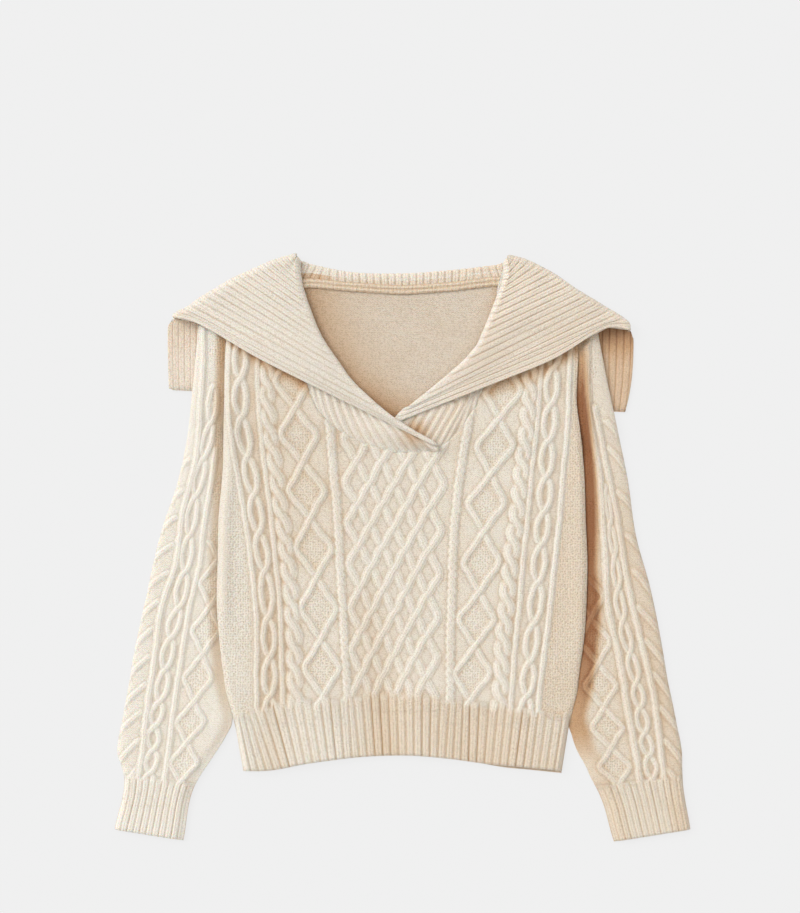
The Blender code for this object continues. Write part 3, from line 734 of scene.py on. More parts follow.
@dataclass
class Wall:
    """A closed wall of cloth from an outer and an inner face, or from two tubes."""

    name: str
    outer: Face
    inner: Face
    wool: Wool
    is_tube: bool = False

    def grid(self, bm: bmesh.types.BMesh, face: Face) -> np.ndarray:
        """Lays a grid and moves its vertices onto a face's places.

        Args:
            bm: The mesh to build in.
            face: The face.

        Returns:
            The vertices, by row and column.
        """
        rows, columns = face.places.shape[:2]
        size = {"x_segments": columns - 1, "y_segments": rows - 1, "size": 0.5}
        verts = bmesh.ops.create_grid(bm, **size)["verts"]
        places = np.maximum(face.places, (-np.inf, -np.inf, 0.0)) * MM
        for vert, place in zip(verts, places.reshape(-1, 3).tolist()):
            vert.co = place
        return np.array(verts, dtype=object).reshape(rows, columns)

    @staticmethod
    def edges_of(chain: np.ndarray) -> list[bmesh.types.BMEdge]:
        """The edges along a chain of vertices."""
        pairs = zip(chain[:-1], chain[1:])
        return [next(e for e in a.link_edges if e.other_vert(a) == b) for a, b in pairs]

    def bridge(self, bm: bmesh.types.BMesh, first: np.ndarray, second: np.ndarray) -> None:
        """Joins two chains of vertices with a strip of faces."""
        bmesh.ops.bridge_loops(bm, edges=self.edges_of(first) + self.edges_of(second))

    def carry(self, bm: bmesh.types.BMesh, label: str) -> None:
        """Writes one fact of both faces, a stitch fact or the painted shade, to the mesh's
        vertices.

        Args:
            bm: The mesh, with the outer face's vertices before the inner one's.
            label: Name of the fact.
        """
        is_place = label == "thread"
        faces = [getattr(face, label) for face in (self.outer, self.inner)]
        values = np.concatenate([f.reshape(-1, 3) if is_place else f.ravel() for f in faces])
        layers = bm.verts.layers
        layer = (layers.float_vector if is_place else layers.float).new(label)
        for vert, value in zip(bm.verts, values.tolist()):
            vert[layer] = value

    def build(self) -> bpy.types.Object:
        """Builds the wall with its stitch facts, painted shade and wool.

        Returns:
            The wall's object.
        """
        bm = bmesh.new()
        outer, inner = self.grid(bm, self.outer), self.grid(bm, self.inner)
        for end in (0, -1):
            self.bridge(bm, outer[end], inner[end])
        if not self.is_tube:
            for side in (0, -1):
                self.bridge(bm, outer[:, side], inner[:, side])
        for label in ("thread", "knit", "moss", "painted_shade"):
            self.carry(bm, label)
        bmesh.ops.remove_doubles(bm, verts=bm.verts, dist=1e-6)
        bmesh.ops.recalc_face_normals(bm, faces=bm.faces)
        mesh = bpy.data.meshes.new(self.name)
        bm.to_mesh(mesh)
        bm.free()
        mesh.materials.append(self.wool.material())
        mesh.shade_smooth()
        made = bpy.data.objects.new(self.name, mesh)
        bpy.context.scene.collection.objects.link(made)
        return made


def painted_cavity_shade(height: np.ndarray, rows: int, columns: int, depth: float) -> np.ndarray:
    """Share of painted shade in the hollows of a grid of heights.

    Args:
        height: The relief alone.
        rows: Half height of the neighbourhood, in cells.
        columns: Half width of the neighbourhood, in cells.
        depth: Depth below the neighbourhood that counts as full shade.

    Returns:
        Shares from 0 to 1.
    """
    below = blurred(height, rows, columns) - height
    return np.clip(below / depth, 0.0, 1.0)


def rib_shape(turns: np.ndarray, groove: float) -> np.ndarray:
    """Flat-topped rib of height 1 between narrow grooves.

    Args:
        turns: Count of ribs passed, whole at the grooves.
        groove: Share of the pitch that one side of the groove takes.

    Returns:
        Height of the rib, 0 in a groove.
    """
    side = np.minimum(turns % 1, 1 - turns % 1) / groove
    crown = 0.16 * (1 - (2 * (turns % 1) - 1) ** 2)
    return 0.84 * quarter_round(side, 0.0) + crown


# Pieces --------------------------------------------------------------------------


def front_columns() -> tuple[list[Column], list[Column]]:
    """Lays out the cables either side of the lattice.

    Returns:
        The columns at -X and those at +X, each from left to right.
    """
    at = MIDDLE_HEIGHT
    left_chain = (-173, -128, -81, -27, 17, 61, 106, 151, 196)
    right_chain = (-172, -132, -88, -40, 3, 42, 82, 124, 166, 208)
    left_diamond = (-173, -107, -35, 33, 99, 162, 225)
    right_diamond = (-178, -115, -52, 18, 85, 150, 213)
    twists = [tuple(float(v) for v in np.arange(-230.0, 300.0, step)) for step in (25.5, 22.6)]
    plait = tuple(float(v) for v in np.arange(-230.0, 300.0, 9.4))
    left = [
        Column(Cable.RIDGE, at, (-169, -171, -186, -202, -199), radius=4.2, rise=2.0),
        Column(Cable.CHAIN, at, (-154, -157, -172, -187, -186), (6.8, 6.8), left_chain, 4.8, 2.5),
        Column(Cable.RIDGE, at, (-139, -143, -155, -166, -167), radius=4.2, rise=2.0),
        Column(Cable.ROPE, at, (-124, -129, -143, -156, -155), (4.9, 4.9), twists[0], 6.8, 2.8),
        Column(Cable.DIAMOND, at, (-92, -98, -110, -124, -136), (20, 20.5), left_diamond, 5.3, 2.2),
        Column(Cable.ROPE, at, (-63, -70, -77, -86, -96), (1.9, 1.9), plait, 4.6, 2.4),
    ]
    right = [
        Column(Cable.ROPE, at, (55, 57, 63, 78, 90), (1.9, 1.9), plait, 4.6, 2.4),
        Column(Cable.DIAMOND, at, (78, 88, 98, 113, 130), (20, 20.5), right_diamond, 5.3, 2.2),
        Column(Cable.ROPE, at, (112, 121, 135, 146, 152), (4.9, 4.9), twists[1], 6.8, 2.8),
        Column(Cable.RIDGE, at, (125, 136, 147, 157, 166), radius=4.2, rise=2.0),
        Column(Cable.CHAIN, at, (143, 155, 165, 171, 180), (6.8, 6.8), right_chain, 4.8, 2.5),
        Column(Cable.RIDGE, at, (157, 172, 184, 192, 196), radius=4.2, rise=2.0),
    ]
    return left, right


@dataclass
class FrontPanel:
    """The front: hem rib, cables either side of the lattice, and the cut of the neck."""

    columns: int = 322
    hem_rows: int = 32
    covered_rows: int = 9
    inner_rows: int = 14
    ribs: int = 41
    rib_rise: float = 2.3
    nap: float = 0.13
    widest: float = -61.0
    knit_from: float = -185.0
    shown_to: float = 196.0
    sunk_to: float = 252.0
    top: float = 318.0
    course: float = 1.45
    sunk_course: float = 2.5
    lattice: Lattice = field(default_factory=Lattice)

    def __post_init__(self) -> None:
        """Sets up the cable columns."""
        self.left, self.right = front_columns()

    def anchors(self, y: np.ndarray) -> np.ndarray:
        """Finds the lines that the wales follow.

        Args:
            y: Heights.

        Returns:
            Places across, a row for each line from the left edge to the right.
        """
        curves = [(BODY_HEIGHT, BODY_LEFT)]
        curves += [(c.heights, c.middle) for c in self.left]
        curves += [(self.lattice.heights, edge) for edge in (self.lattice.left, self.lattice.right)]
        curves += [(c.heights, c.middle) for c in self.right]
        curves.append((BODY_HEIGHT, BODY_RIGHT))
        return np.array([flow(y, heights, places) for heights, places in curves])

    def across(self, wale: np.ndarray, y: np.ndarray) -> np.ndarray:
        """Finds where wales run.

        Args:
            wale: The wales, given by their places at the widest height.
            y: The height on each of them.

        Returns:
            Places across.
        """
        rest = self.anchors(np.array([self.widest]))[:, 0]
        lines = self.anchors(y)
        cell = np.clip(np.searchsorted(rest, wale, side="right") - 1, 0, len(rest) - 2)
        share = (wale - rest[cell]) / (rest[cell + 1] - rest[cell])
        index = np.arange(len(y))
        return lines[cell, index] * (1 - share) + lines[cell + 1, index] * share

    def tops(self, wales: np.ndarray) -> np.ndarray:
        """Finds where the panel ends.

        Args:
            wales: The wales, given by their places at the widest height.

        Returns:
            Height at which each meets the neckline or the shoulder.
        """
        found = np.full(len(wales), 316.0)
        for y in np.arange(316.0, 99.0, -0.5):
            x = self.across(wales, np.full(len(wales), y))
            inside = (x > NECK_X[0]) & (x < NECK_X[-1])
            neck = np.interp(x, NECK_X, NECK_Y)
            edge = np.where(inside, neck, np.interp(x, SHOULDER_X, SHOULDER_Y))
            found = np.where(y >= edge, y, found)
        return found

    def levels(self) -> np.ndarray:
        """Lays out the rows above the hem rib.

        Returns:
            Their heights, close together where they show.
        """
        shown = np.arange(self.knit_from, self.shown_to, self.course)
        sunk = np.arange(shown[-1] + self.sunk_course, self.sunk_to, self.sunk_course)
        covered = np.linspace(sunk[-1] + 6, self.top, self.covered_rows)
        return np.concatenate([shown, sunk, covered])

    def plan(self) -> tuple[np.ndarray, np.ndarray, np.ndarray]:
        """Lays out the outer face.

        Returns:
            Places across and up, and the share of hem rib at each point.
        """
        ends = self.anchors(np.array([self.widest]))[:, 0]
        wales = np.linspace(ends[0], ends[-1], self.columns)
        tops = self.tops(wales)
        start_x = self.across(wales, np.full(self.columns, self.knit_from))
        rib_top = flow(start_x, RIB_TOP_X, RIB_TOP_Y)
        hem_x = np.linspace(BODY_LEFT[0] + 11, BODY_RIGHT[0] - 10, self.columns)
        hem_y = flow(hem_x, HEM_X, HEM_Y)
        side_x = self.across(wales, rib_top)
        rows = []
        for share in np.arange(self.hem_rows) / self.hem_rows:
            rows.append((hem_x + (side_x - hem_x) * share, hem_y + (rib_top - hem_y) * share))
        for level in self.levels():
            settle = 1 - ease((level - self.knit_from) / 150)
            y = np.minimum(level + (rib_top - self.knit_from) * settle, tops)
            rows.append((self.across(wales, y), y))
        x, y = np.array(rows).transpose(1, 0, 2)
        start = rib_top + 2.4 * np.sin(2.4 * np.floor(np.linspace(0, self.ribs, self.columns)))
        return x, y, 1 - ease((y - start + 5.5) / 11)

    def folds(self, x: np.ndarray, y: np.ndarray) -> np.ndarray:
        """Shapes the large soft folds: the full left side, the hem's waves, the troughs.

        Args:
            x: Places across.
            y: Places up.

        Returns:
            Heights.
        """
        left = x - flow(y, BODY_HEIGHT, BODY_LEFT)
        left_roll = 3.6 * hill(left, 8.5, 8.5) * ease((215 - y) / 60) * ease((y + 120) / 70)
        right_roll = 1.6 * hill(x, 205, 10) * ease((160 - y) / 60) * ease((y + 150) / 60)
        hem = 1.1 * (1 + np.cos((x + 94) * 2 * np.pi / 118)) * ease((-110 - y) / 60)
        belly = 1.2 * hill(x, 150, 60) * ease((120 - y) / 80)
        trough = -1.3 * hill(x + 0.15 * y, -42, 18) * ease((-20 - y) / 60)
        dip = -0.8 * hill(x - 0.3 * y, 30, 18) * ease((-90 - y) / 50)
        drape = 0.8 * hill(x + 0.6 * (y - 140), -150, 16) * ease((y - 20) / 80)
        return left_roll + right_roll + hem + belly + trough + dip + drape

    def moss(self, x: np.ndarray, y: np.ndarray) -> np.ndarray:
        """Finds the moss stitch: inside the lozenges and on both side panels.

        Args:
            x: Places across.
            y: Places up.

        Returns:
            Shares from 0 to 1.
        """
        first = flow(y, MIDDLE_HEIGHT, self.left[0].middle)
        last = flow(y, MIDDLE_HEIGHT, self.right[-1].middle)
        share = ease((first - 4 - x) / 2) + ease((x - last - 4) / 2)
        left = x - flow(y, BODY_HEIGHT, BODY_LEFT)
        share = share * (1 - 0.85 * ease((14 - left) / 5) * ease((y + 90) / 60))
        for column in (c for c in self.left + self.right if c.kind is Cable.DIAMOND):
            share = share + column.lozenge(x, y)
        return np.clip(share, 0.0, 1.0)

    def shade(self, x: np.ndarray, y: np.ndarray, rib: np.ndarray) -> np.ndarray:
        """Paints shade: the collar's shadow below it, and the large hollows down the sides and in
        the troughs; it also darkens the hem rib, the right side panel and all but the left edge.

        Args:
            x: Places across.
            y: Places up.
            rib: Share of hem rib.

        Returns:
            Shares of shade.
        """
        leaf_edge = flow(x, LEAF_EDGE_X, LEAF_EDGE_Y)
        # painted shadow of the collar's leaves on the front below them
        neck = ease((y - leaf_edge + 16) / 18) * ease((abs(x - 15) - 48) / 25)
        shade = 0.25 * rib * hill(x, 90, 150) + (0.44 + 0.10 * (x < 0)) * neck
        shade = shade + 0.06 * ease((x + 195) / 25)
        shade = shade + 0.15 * hill(x, -150, 22) * ease((20 - y) / 120)
        shade = shade + 0.16 * hill(x + 0.1 * y, -45, 24) * ease((-10 - y) / 80)
        shade = shade + 0.10 * hill(x, -128, 60) * ease((y + 60) / 90)
        return shade + 0.2 * self.moss(x, y) * (1 - rib) * ease((x - 120) / 70)

    def faces(self) -> tuple[Face, Face]:
        """Builds the knitted outer face and the plain inner one.

        Returns:
            Both faces.
        """
        x, y, rib = self.plan()
        shape = x.shape
        relief = Relief.plain(x.ravel(), y.ravel())
        strands = [s for c in self.left + self.right for s in c.strands()]
        relief.add(strands + self.lattice.strands(), x.ravel(), y.ravel())
        turns = np.linspace(0, self.ribs, shape[1])[None, :] + np.zeros(shape)
        ribs = self.rib_rise * rib_shape(turns, 0.18)
        cables = relief.height.reshape(shape) + self.nap * grain(x + 3.0, y)
        height = cables * (1 - rib) + ribs * rib
        left, right = x[:, :1], x[:, -1:]
        depth = np.minimum(x - left, right - x)
        thick = CLOTH * quarter_round(depth / EDGE_ROLL, 0.4)
        thick = thick + self.folds(x, y) * ease(depth / 6)
        foot = ease((y - y[:1] + 0.6) / 3.0) * 0.75 + 0.25
        foot = foot * (0.35 + 0.65 * ease((y[-1:] - y + 0.4) / 3.4))
        under = table_lift(x, y, FRONT_AHEAD) + CLOTH + LAYER_GAP
        z = under + (thick + height * ease(depth / 6)) * foot
        # painted shade: in the hollows of the cables and the hem ribs, with the large painted shade
        # from shade()
        painted_shade = 0.42 * painted_cavity_shade(height, 3, 3, 1.5) * (1 - rib)
        painted_shade = painted_shade + 0.56 * rib * painted_cavity_shade(ribs, 1, 4, 1.7) + self.shade(x, y, rib)
        in_rib = (turns % 1 - 0.5) * (right - left) / self.ribs
        across = relief.across.reshape(shape) * (1 - rib) + rib * in_rib
        outer = Face(
            np.stack([x, y, z], axis=2),
            np.stack([across, relief.along.reshape(shape), np.zeros(shape)], axis=2),
            relief.knit.reshape(shape) * (1 - rib) + rib,
            self.moss(x, y) * (1 - rib),
            np.clip(painted_shade, 0, 1),
        )
        kept = np.linspace(0, shape[0] - 1, self.inner_rows).astype(int)
        # the inner face gets an even painted shade
        return outer, Face.plain(np.stack([x[kept], y[kept], under[kept]], axis=2), 0.3)

    def build(self) -> bpy.types.Object:
        """Builds and dresses the front.

        Returns:
            The piece.
        """
        outer, inner = self.faces()
        piece = Wall("front_knit", outer, inner, CREAM).build()
        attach(piece, "root")
        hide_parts("front_panel")
        return piece


@dataclass
class BackPanel:
    """The back: it rests on the table, and its plain inside shows in the neck."""

    columns: int = 150
    rows: int = 220
    inner_rows: int = 14
    hem_half: float = 185.0
    hem: float = -260.0

    def shade(self, x: np.ndarray, y: np.ndarray) -> np.ndarray:
        """Paints shade on the inside: strong along the left leaf, where its shadow falls, soft at
        the bottom of the neck, and a little all over.

        Args:
            x: Places across.
            y: Places up.

        Returns:
            Shares of shade.
        """
        leaf = np.interp(y, (149, 183, 214, 243, 277, 336), (-14, -53, -77, -96, -111, -119))
        shade = 0.50 * np.exp(-((np.maximum(x - leaf, 0) / 46) ** 1.5))
        return shade + 0.26 * ease((95 - (y - flow(x, NECK_X, NECK_Y))) / 90) + 0.06

    def faces(self) -> tuple[Face, Face]:
        """Builds both faces.

        Returns:
            The inside of the garment, which faces up, and the outside.
        """
        shares = np.linspace(0, 1, self.columns)
        x_top = np.interp(shares, (0, 1), (BACK_NECK_X[0], BACK_NECK_X[-1]))
        tops = np.interp(x_top, BACK_NECK_X, BACK_NECK_Y)
        hem_x = np.interp(shares, (0, 1), (HEM_X[0], HEM_X[-1]))
        hems = flow(hem_x, HEM_X, HEM_Y) - 2.5 * ease((hem_x - 80) / 50)
        y = hems + (tops - hems) * np.linspace(0, 1, self.rows)[:, None]
        left = np.interp(y, (self.hem, *BODY_HEIGHT), (-self.hem_half, *BODY_LEFT))
        right = np.interp(y, (self.hem, *BODY_HEIGHT), (self.hem_half, *BODY_RIGHT))
        x = left + (right - left) * shares
        depth = np.minimum(x - left, right - x) + 2
        base = table_lift(x, y)
        z = base + CLOTH * quarter_round(depth / EDGE_ROLL, 0.4)
        outer = Face.plain(np.stack([x, y, z], axis=2), self.shade(x, y))
        kept = np.linspace(0, self.rows - 1, self.inner_rows).astype(int)
        return outer, Face.plain(np.stack([x[kept], y[kept], base[kept]], axis=2))

    def build(self) -> bpy.types.Object:
        """Builds and dresses the back.

        Returns:
            The piece.
        """
        outer, inner = self.faces()
        piece = Wall("back_knit", outer, inner, SHADED).build()
        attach(piece, "root")
        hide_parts("back_panel")
        return piece


@dataclass(frozen=True)
class Stroke:
    """A slanting cord on a sleeve's outer side, from the far edge up to a ridge."""

    low: Point
    high: Point
    points: int = 60
    radius: float = 4.5
    rise: float = 2.1

    def strand(self) -> Strand:
        """Builds the cord.

        Returns:
            The cord, a little bowed and sunk at its upper end.
        """
        y = np.linspace(self.low[1] - 6, self.high[1], self.points)
        x = np.interp(y, (self.low[1], self.high[1]), (self.low[0], self.high[0]))
        x = x + 1.2 * np.sin(np.linspace(0, np.pi, self.points)) * np.sign(self.low[0])
        return Strand(y, x, 1 - ease((y - self.high[1] + 8) / 8), self.radius, self.rise)


@dataclass
class Sleeve:
    """A sleeve: a flattened tube of cables with its own ribbed cuff."""

    name: str
    node: str
    heights: Table
    far: Table
    beside: Table
    cables: list[Column]
    strokes: list[Stroke]
    groove: float
    # painted shade of the groove beside the body, by height, and how far its full strength reaches
    shades: Table
    wool: Wool = CREAM
    hidden: float = 5.0
    flat_shade: float = 0.0
    # painted shade over the whole sleeve, on its cuff, and towards its far rim
    painted_shade_tone: float = 0.02
    cuff_painted_shade: float = 0.02
    rim_painted_shade: float = 0.0
    calm: float = 1.0
    nap: float = 0.13
    rib_shade: float = 0.62
    ribs: int = 11
    cuff_height: float = 59.0
    slot_top: float = 2.6
    top_columns: int = 84
    under_columns: int = 10
    rows: int = 430
    slot_rows: int = 12

    @property
    def side(self) -> float:
        """-1 for the sleeve at -X, 1 for the other."""
        return math.copysign(1.0, self.far[0])

    def levels(self) -> tuple[np.ndarray, ...]:
        """Lays out the rows.

        Returns:
            For each row its far side, its side at the body, its height, how far it
            slants down to the body, and its share of cuff rib.
        """
        y = np.linspace(self.heights[0], self.heights[-1], self.rows)
        far = flow(y, self.heights, self.far)
        beside = flow(y, self.heights, self.beside)
        beside = beside - self.side * self.hidden * ease((y + 205) / 25)
        tilt = 0.12 + 0.10 * ease((y + 200) / 100) + 0.04 * ease((-290 - y) / 30)
        shift = abs(beside - far) * tilt * ease((160 - y) / 120)
        cuff = 1 - ease((y - self.heights[0] - self.cuff_height) / 6)
        return far, beside, y, shift, cuff

    def thickness(self, rows: np.ndarray, distance: np.ndarray, other: np.ndarray) -> np.ndarray:
        """Shapes the sleeve's crown and the groove beside the body.

        Args:
            rows: Heights up the garment.
            distance: Distance from the far side.
            other: Distance from the side at the body.

        Returns:
            Thickness of the whole sleeve.
        """
        crown = (2 * CLOTH + LAYER_GAP) * quarter_round(distance / 10, 0.42)
        high = ease((rows + 175) / 90)
        tuck = self.groove * high + 14 * (1 - high)
        return crown * (1 - (0.44 + 0.20 * high) * (1 - ease(other / tuck)))

    def shade(self, y: np.ndarray, other: np.ndarray, rib: np.ndarray) -> np.ndarray:
        """Paints shade on the sleeve as a whole, on its cuff, and in the groove beside the body,
        which is wider where it is free.

        Args:
            y: Heights up the garment.
            other: Distance from the side at the body.
            rib: Share of cuff rib.

        Returns:
            Shares of shade.
        """
        strength = flow(y, (-250, -223, -177, -119, -61, -20, 60, 171, 240), self.shades)
        free = self.flat_shade * (0.35 + 0.65 * ease((-20 - y) / 60))
        reach = (other - self.hidden - 1 - free) / (0.75 * self.groove)
        return self.painted_shade_tone + self.cuff_painted_shade * rib + strength * (1 - ease(reach))

    def moss(self, x: np.ndarray, y: np.ndarray) -> np.ndarray:
        """The share of moss stitch, which fills the lozenges."""
        lozenges = (c.lozenge(x, y) for c in self.cables if c.kind is Cable.DIAMOND)
        return np.clip(sum(lozenges), 0.0, 1.0)

    def build(self) -> bpy.types.Object:
        """Builds and dresses the sleeve.

        Returns:
            The piece.
        """
        far, beside, y, shift, cuff = self.levels()
        across = np.linspace(0, 1, self.top_columns)
        x = far[:, None] + (beside - far)[:, None] * across
        rows = y[:, None] - shift[:, None] * across
        shape = x.shape
        width = abs(beside - far)[:, None]
        distance = width * across
        relief = Relief.plain(x.ravel(), rows.ravel())
        strands = [s for c in self.cables for s in c.strands()]
        relief.add(strands + [stroke.strand() for stroke in self.strokes], x.ravel(), rows.ravel())
        rib = cuff[:, None] + np.zeros(shape)
        turns = self.ribs * across[None, :] + np.zeros(shape)
        ribs = 2.0 * rib_shape(turns, 0.2)
        cables = self.calm * relief.height.reshape(shape) + self.nap * grain(x + 3.0, rows)
        height = cables * (1 - rib) + ribs * rib
        shown = ease(distance / 6 + 0.12) * ease((width - distance) / 9)
        foot = ease((y - y[0] + 0.6) / 3.0)[:, None] * 0.75 + 0.25
        z = self.thickness(rows, distance, width - distance) * (0.6 + 0.4 * foot)
        z = z + height * shown * foot
        # painted shade: in the hollows of the cables and cuff ribs, in the groove, on the cuff and
        # towards the far rim
        painted_shade = 0.42 * self.calm * painted_cavity_shade(height, 3, 3, 1.5) * (1 - rib)
        painted_shade = painted_shade + self.rib_shade * rib * painted_cavity_shade(ribs, 1, 4, 1.7)
        painted_shade = painted_shade + self.shade(rows, width - distance, rib)
        painted_shade = painted_shade + self.rim_painted_shade * ease((26 - distance) / 12) * ease((120 - rows) / 120)
        in_rib = (turns % 1 - 0.5) * width / self.ribs
        thread = relief.across.reshape(shape) * (1 - rib) + rib * in_rib
        lift = table_lift(x, rows)
        top = Face(
            np.stack([x, rows, z + lift], axis=2),
            np.stack([thread, relief.along.reshape(shape), np.zeros(shape)], axis=2),
            relief.knit.reshape(shape) * (1 - rib) + rib,
            self.moss(x, rows) * (1 - rib),
            np.clip(painted_shade, 0, 1),
        )
        skin, slot = self.ring(top, lift), self.tube(top.places, lift)
        piece = Wall(self.name, skin, slot, self.wool, is_tube=True).build()
        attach(piece, "root")
        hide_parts(self.node)
        return piece

    def ring(self, top: Face, lift: np.ndarray) -> Face:
        """Runs the upper face on round the tube, back along the table.

        Args:
            top: The upper face.
            lift: Its lift off the table.

        Returns:
            The skin, whose last column meets its first.
        """
        share = 0.006 + 0.988 * np.linspace(1, 0, self.under_columns)[None, :, None]
        low = top.places[:, :1] * (1 - share) + top.places[:, -1:] * share
        low[..., 2] = lift[:, :1] * (1 - share[..., 0]) + lift[:, -1:] * share[..., 0]
        places = np.concatenate([top.places, low, top.places[:, :1]], axis=1)
        facts = (top.thread, top.knit, top.moss, top.painted_shade)
        extra = self.under_columns + 1
        wide = [np.concatenate([f, np.repeat(f[:, :1], extra, axis=1)], axis=1) for f in facts]
        return Face(places, *wide)

    def tube(self, top: np.ndarray, lift: np.ndarray) -> Face:
        """Builds the plain space inside the sleeve, thin as a slot.

        Args:
            top: Places of the upper face.
            lift: Its lift off the table.

        Returns:
            The inner space's wall, as many columns round as the skin has.
        """
        kept = np.linspace(0, self.rows - 1, self.slot_rows).astype(int)
        total = self.top_columns + self.under_columns + 1
        angle = np.linspace(0, 2 * np.pi, total)[None, :, None]
        share = 0.5 - 0.44 * np.cos(angle)
        places = top[kept][:, :1] * (1 - share) + top[kept][:, -1:] * share
        base = lift[kept][:, :1] * (1 - share[..., 0]) + lift[kept][:, -1:] * share[..., 0]
        middle = base + 0.42 * top[kept][:, -1:, 2] + 0.5 * np.sin(angle[..., 0])
        places[..., 2] = np.minimum(middle, base + self.slot_top)
        # the inner space gets an even painted shade
        return Face.plain(places, 0.5)


def strokes_up(
    lows: Table, edge: tuple[Table, Table], ridge: Column, longer: float
) -> list[Stroke]:
    """Lays slanting strokes from a sleeve's far side up to its first ridge.

    Args:
        lows: Heights at which they start.
        edge: Heights and places of the far side.
        ridge: The ridge at which they end.
        longer: How much further each climbs for a millimetre of its height.

    Returns:
        The strokes.
    """
    side = math.copysign(1.0, ridge.middle[0])
    found = []
    for low in lows:
        top = low + 31 + longer * (low + 280)
        start, end = float(flow(low, *edge)), float(flow(top, ridge.heights, ridge.middle))
        found.append(Stroke((start + 2 * side, low - 3), (end + 1.5 * side, top)))
    return found


def left_sleeve() -> Sleeve:
    """Lays out the sleeve at -X.

    Returns:
        The sleeve.
    """
    chain = (-235, -208, -179, -142, -105, -70, -28, 14, 59, 104, 145, 188, 230)
    diamond = (-273, -227, -179, -124, -68, -14, 40)
    cables = [
        Column(
            Cable.RIDGE,
            (-290, -264, -208, -144, -61, -26, 38, 102, 214),
            (-312, -306, -299, -290, -277, -265, -255, -240, -231),
            radius=5.2, rise=2.8, low=-300, high=260,
        ),
        Column(
            Cable.CHAIN,
            (-290, -235, -208, -179, -142, -105, -70, -28, 14, 59, 104, 145, 200, 240),
            (-298, -290, -288, -282, -276, -269, -260, -253, -247, -241, -231, -222, -219, -220),
            (6.6, 6.4, 6.0, 5.4, 4.6), chain, 4.3, 2.6, low=-300, high=192,
        ),
        Column(
            Cable.RIDGE,
            (-290, -273, -200, -135, -61, -16, 20, 63, 119),
            (-280, -277, -267, -258, -245, -235, -231, -224, -216),
            radius=4.6, rise=2.4, low=-300, high=119,
        ),
        Column(
            Cable.DIAMOND,
            (-290, -273, -227, -179, -124, -60, 0),
            (-262, -258, -251, -242, -233, -222, -212),
            (15.5, 15.5), diamond, 4.3, 2.2, low=-290, high=10,
        ),
    ]
    lows = (-283, -248, -214, -180, -146, -112, -78, -44, -10, 24, 58, 96)
    heights = (-328, -266, -236, -172, -132, -61, 24, 68, 113, 184, 250)
    far = (-335, -324, -332, -321, -314, -299, -279, -264, -253, -244, -240)
    strokes = strokes_up(lows, (heights, far), cables[0], -0.05)
    return Sleeve(
        name="sleeve_left_knit",
        node="sleeve_left",
        heights=(-328, -266, -236, -220, -210, -196, -184, -157, -132, -61, 24, 68, 113, 184, 258),
        far=(
            *(-335, -324, -332, -330, -328, -325, -323, -318),
            *(-314, -299, -279, -264, -253, -244, -237),
        ),
        beside=(
            *(-255, -241, -224, -214, -208, -202, -202, -208),
            *(-212, -218, -217, -214, -212, -210, -207.5),
        ),
        cables=cables,
        strokes=strokes,
        groove=15.0,
        shades=(0.0, 0.12, 0.28, 0.38, 0.32, 0.30, 0.38, 0.52, 0.66),
        wool=PAINTED_LIGHT_CREAM,
        calm=0.8,
    )


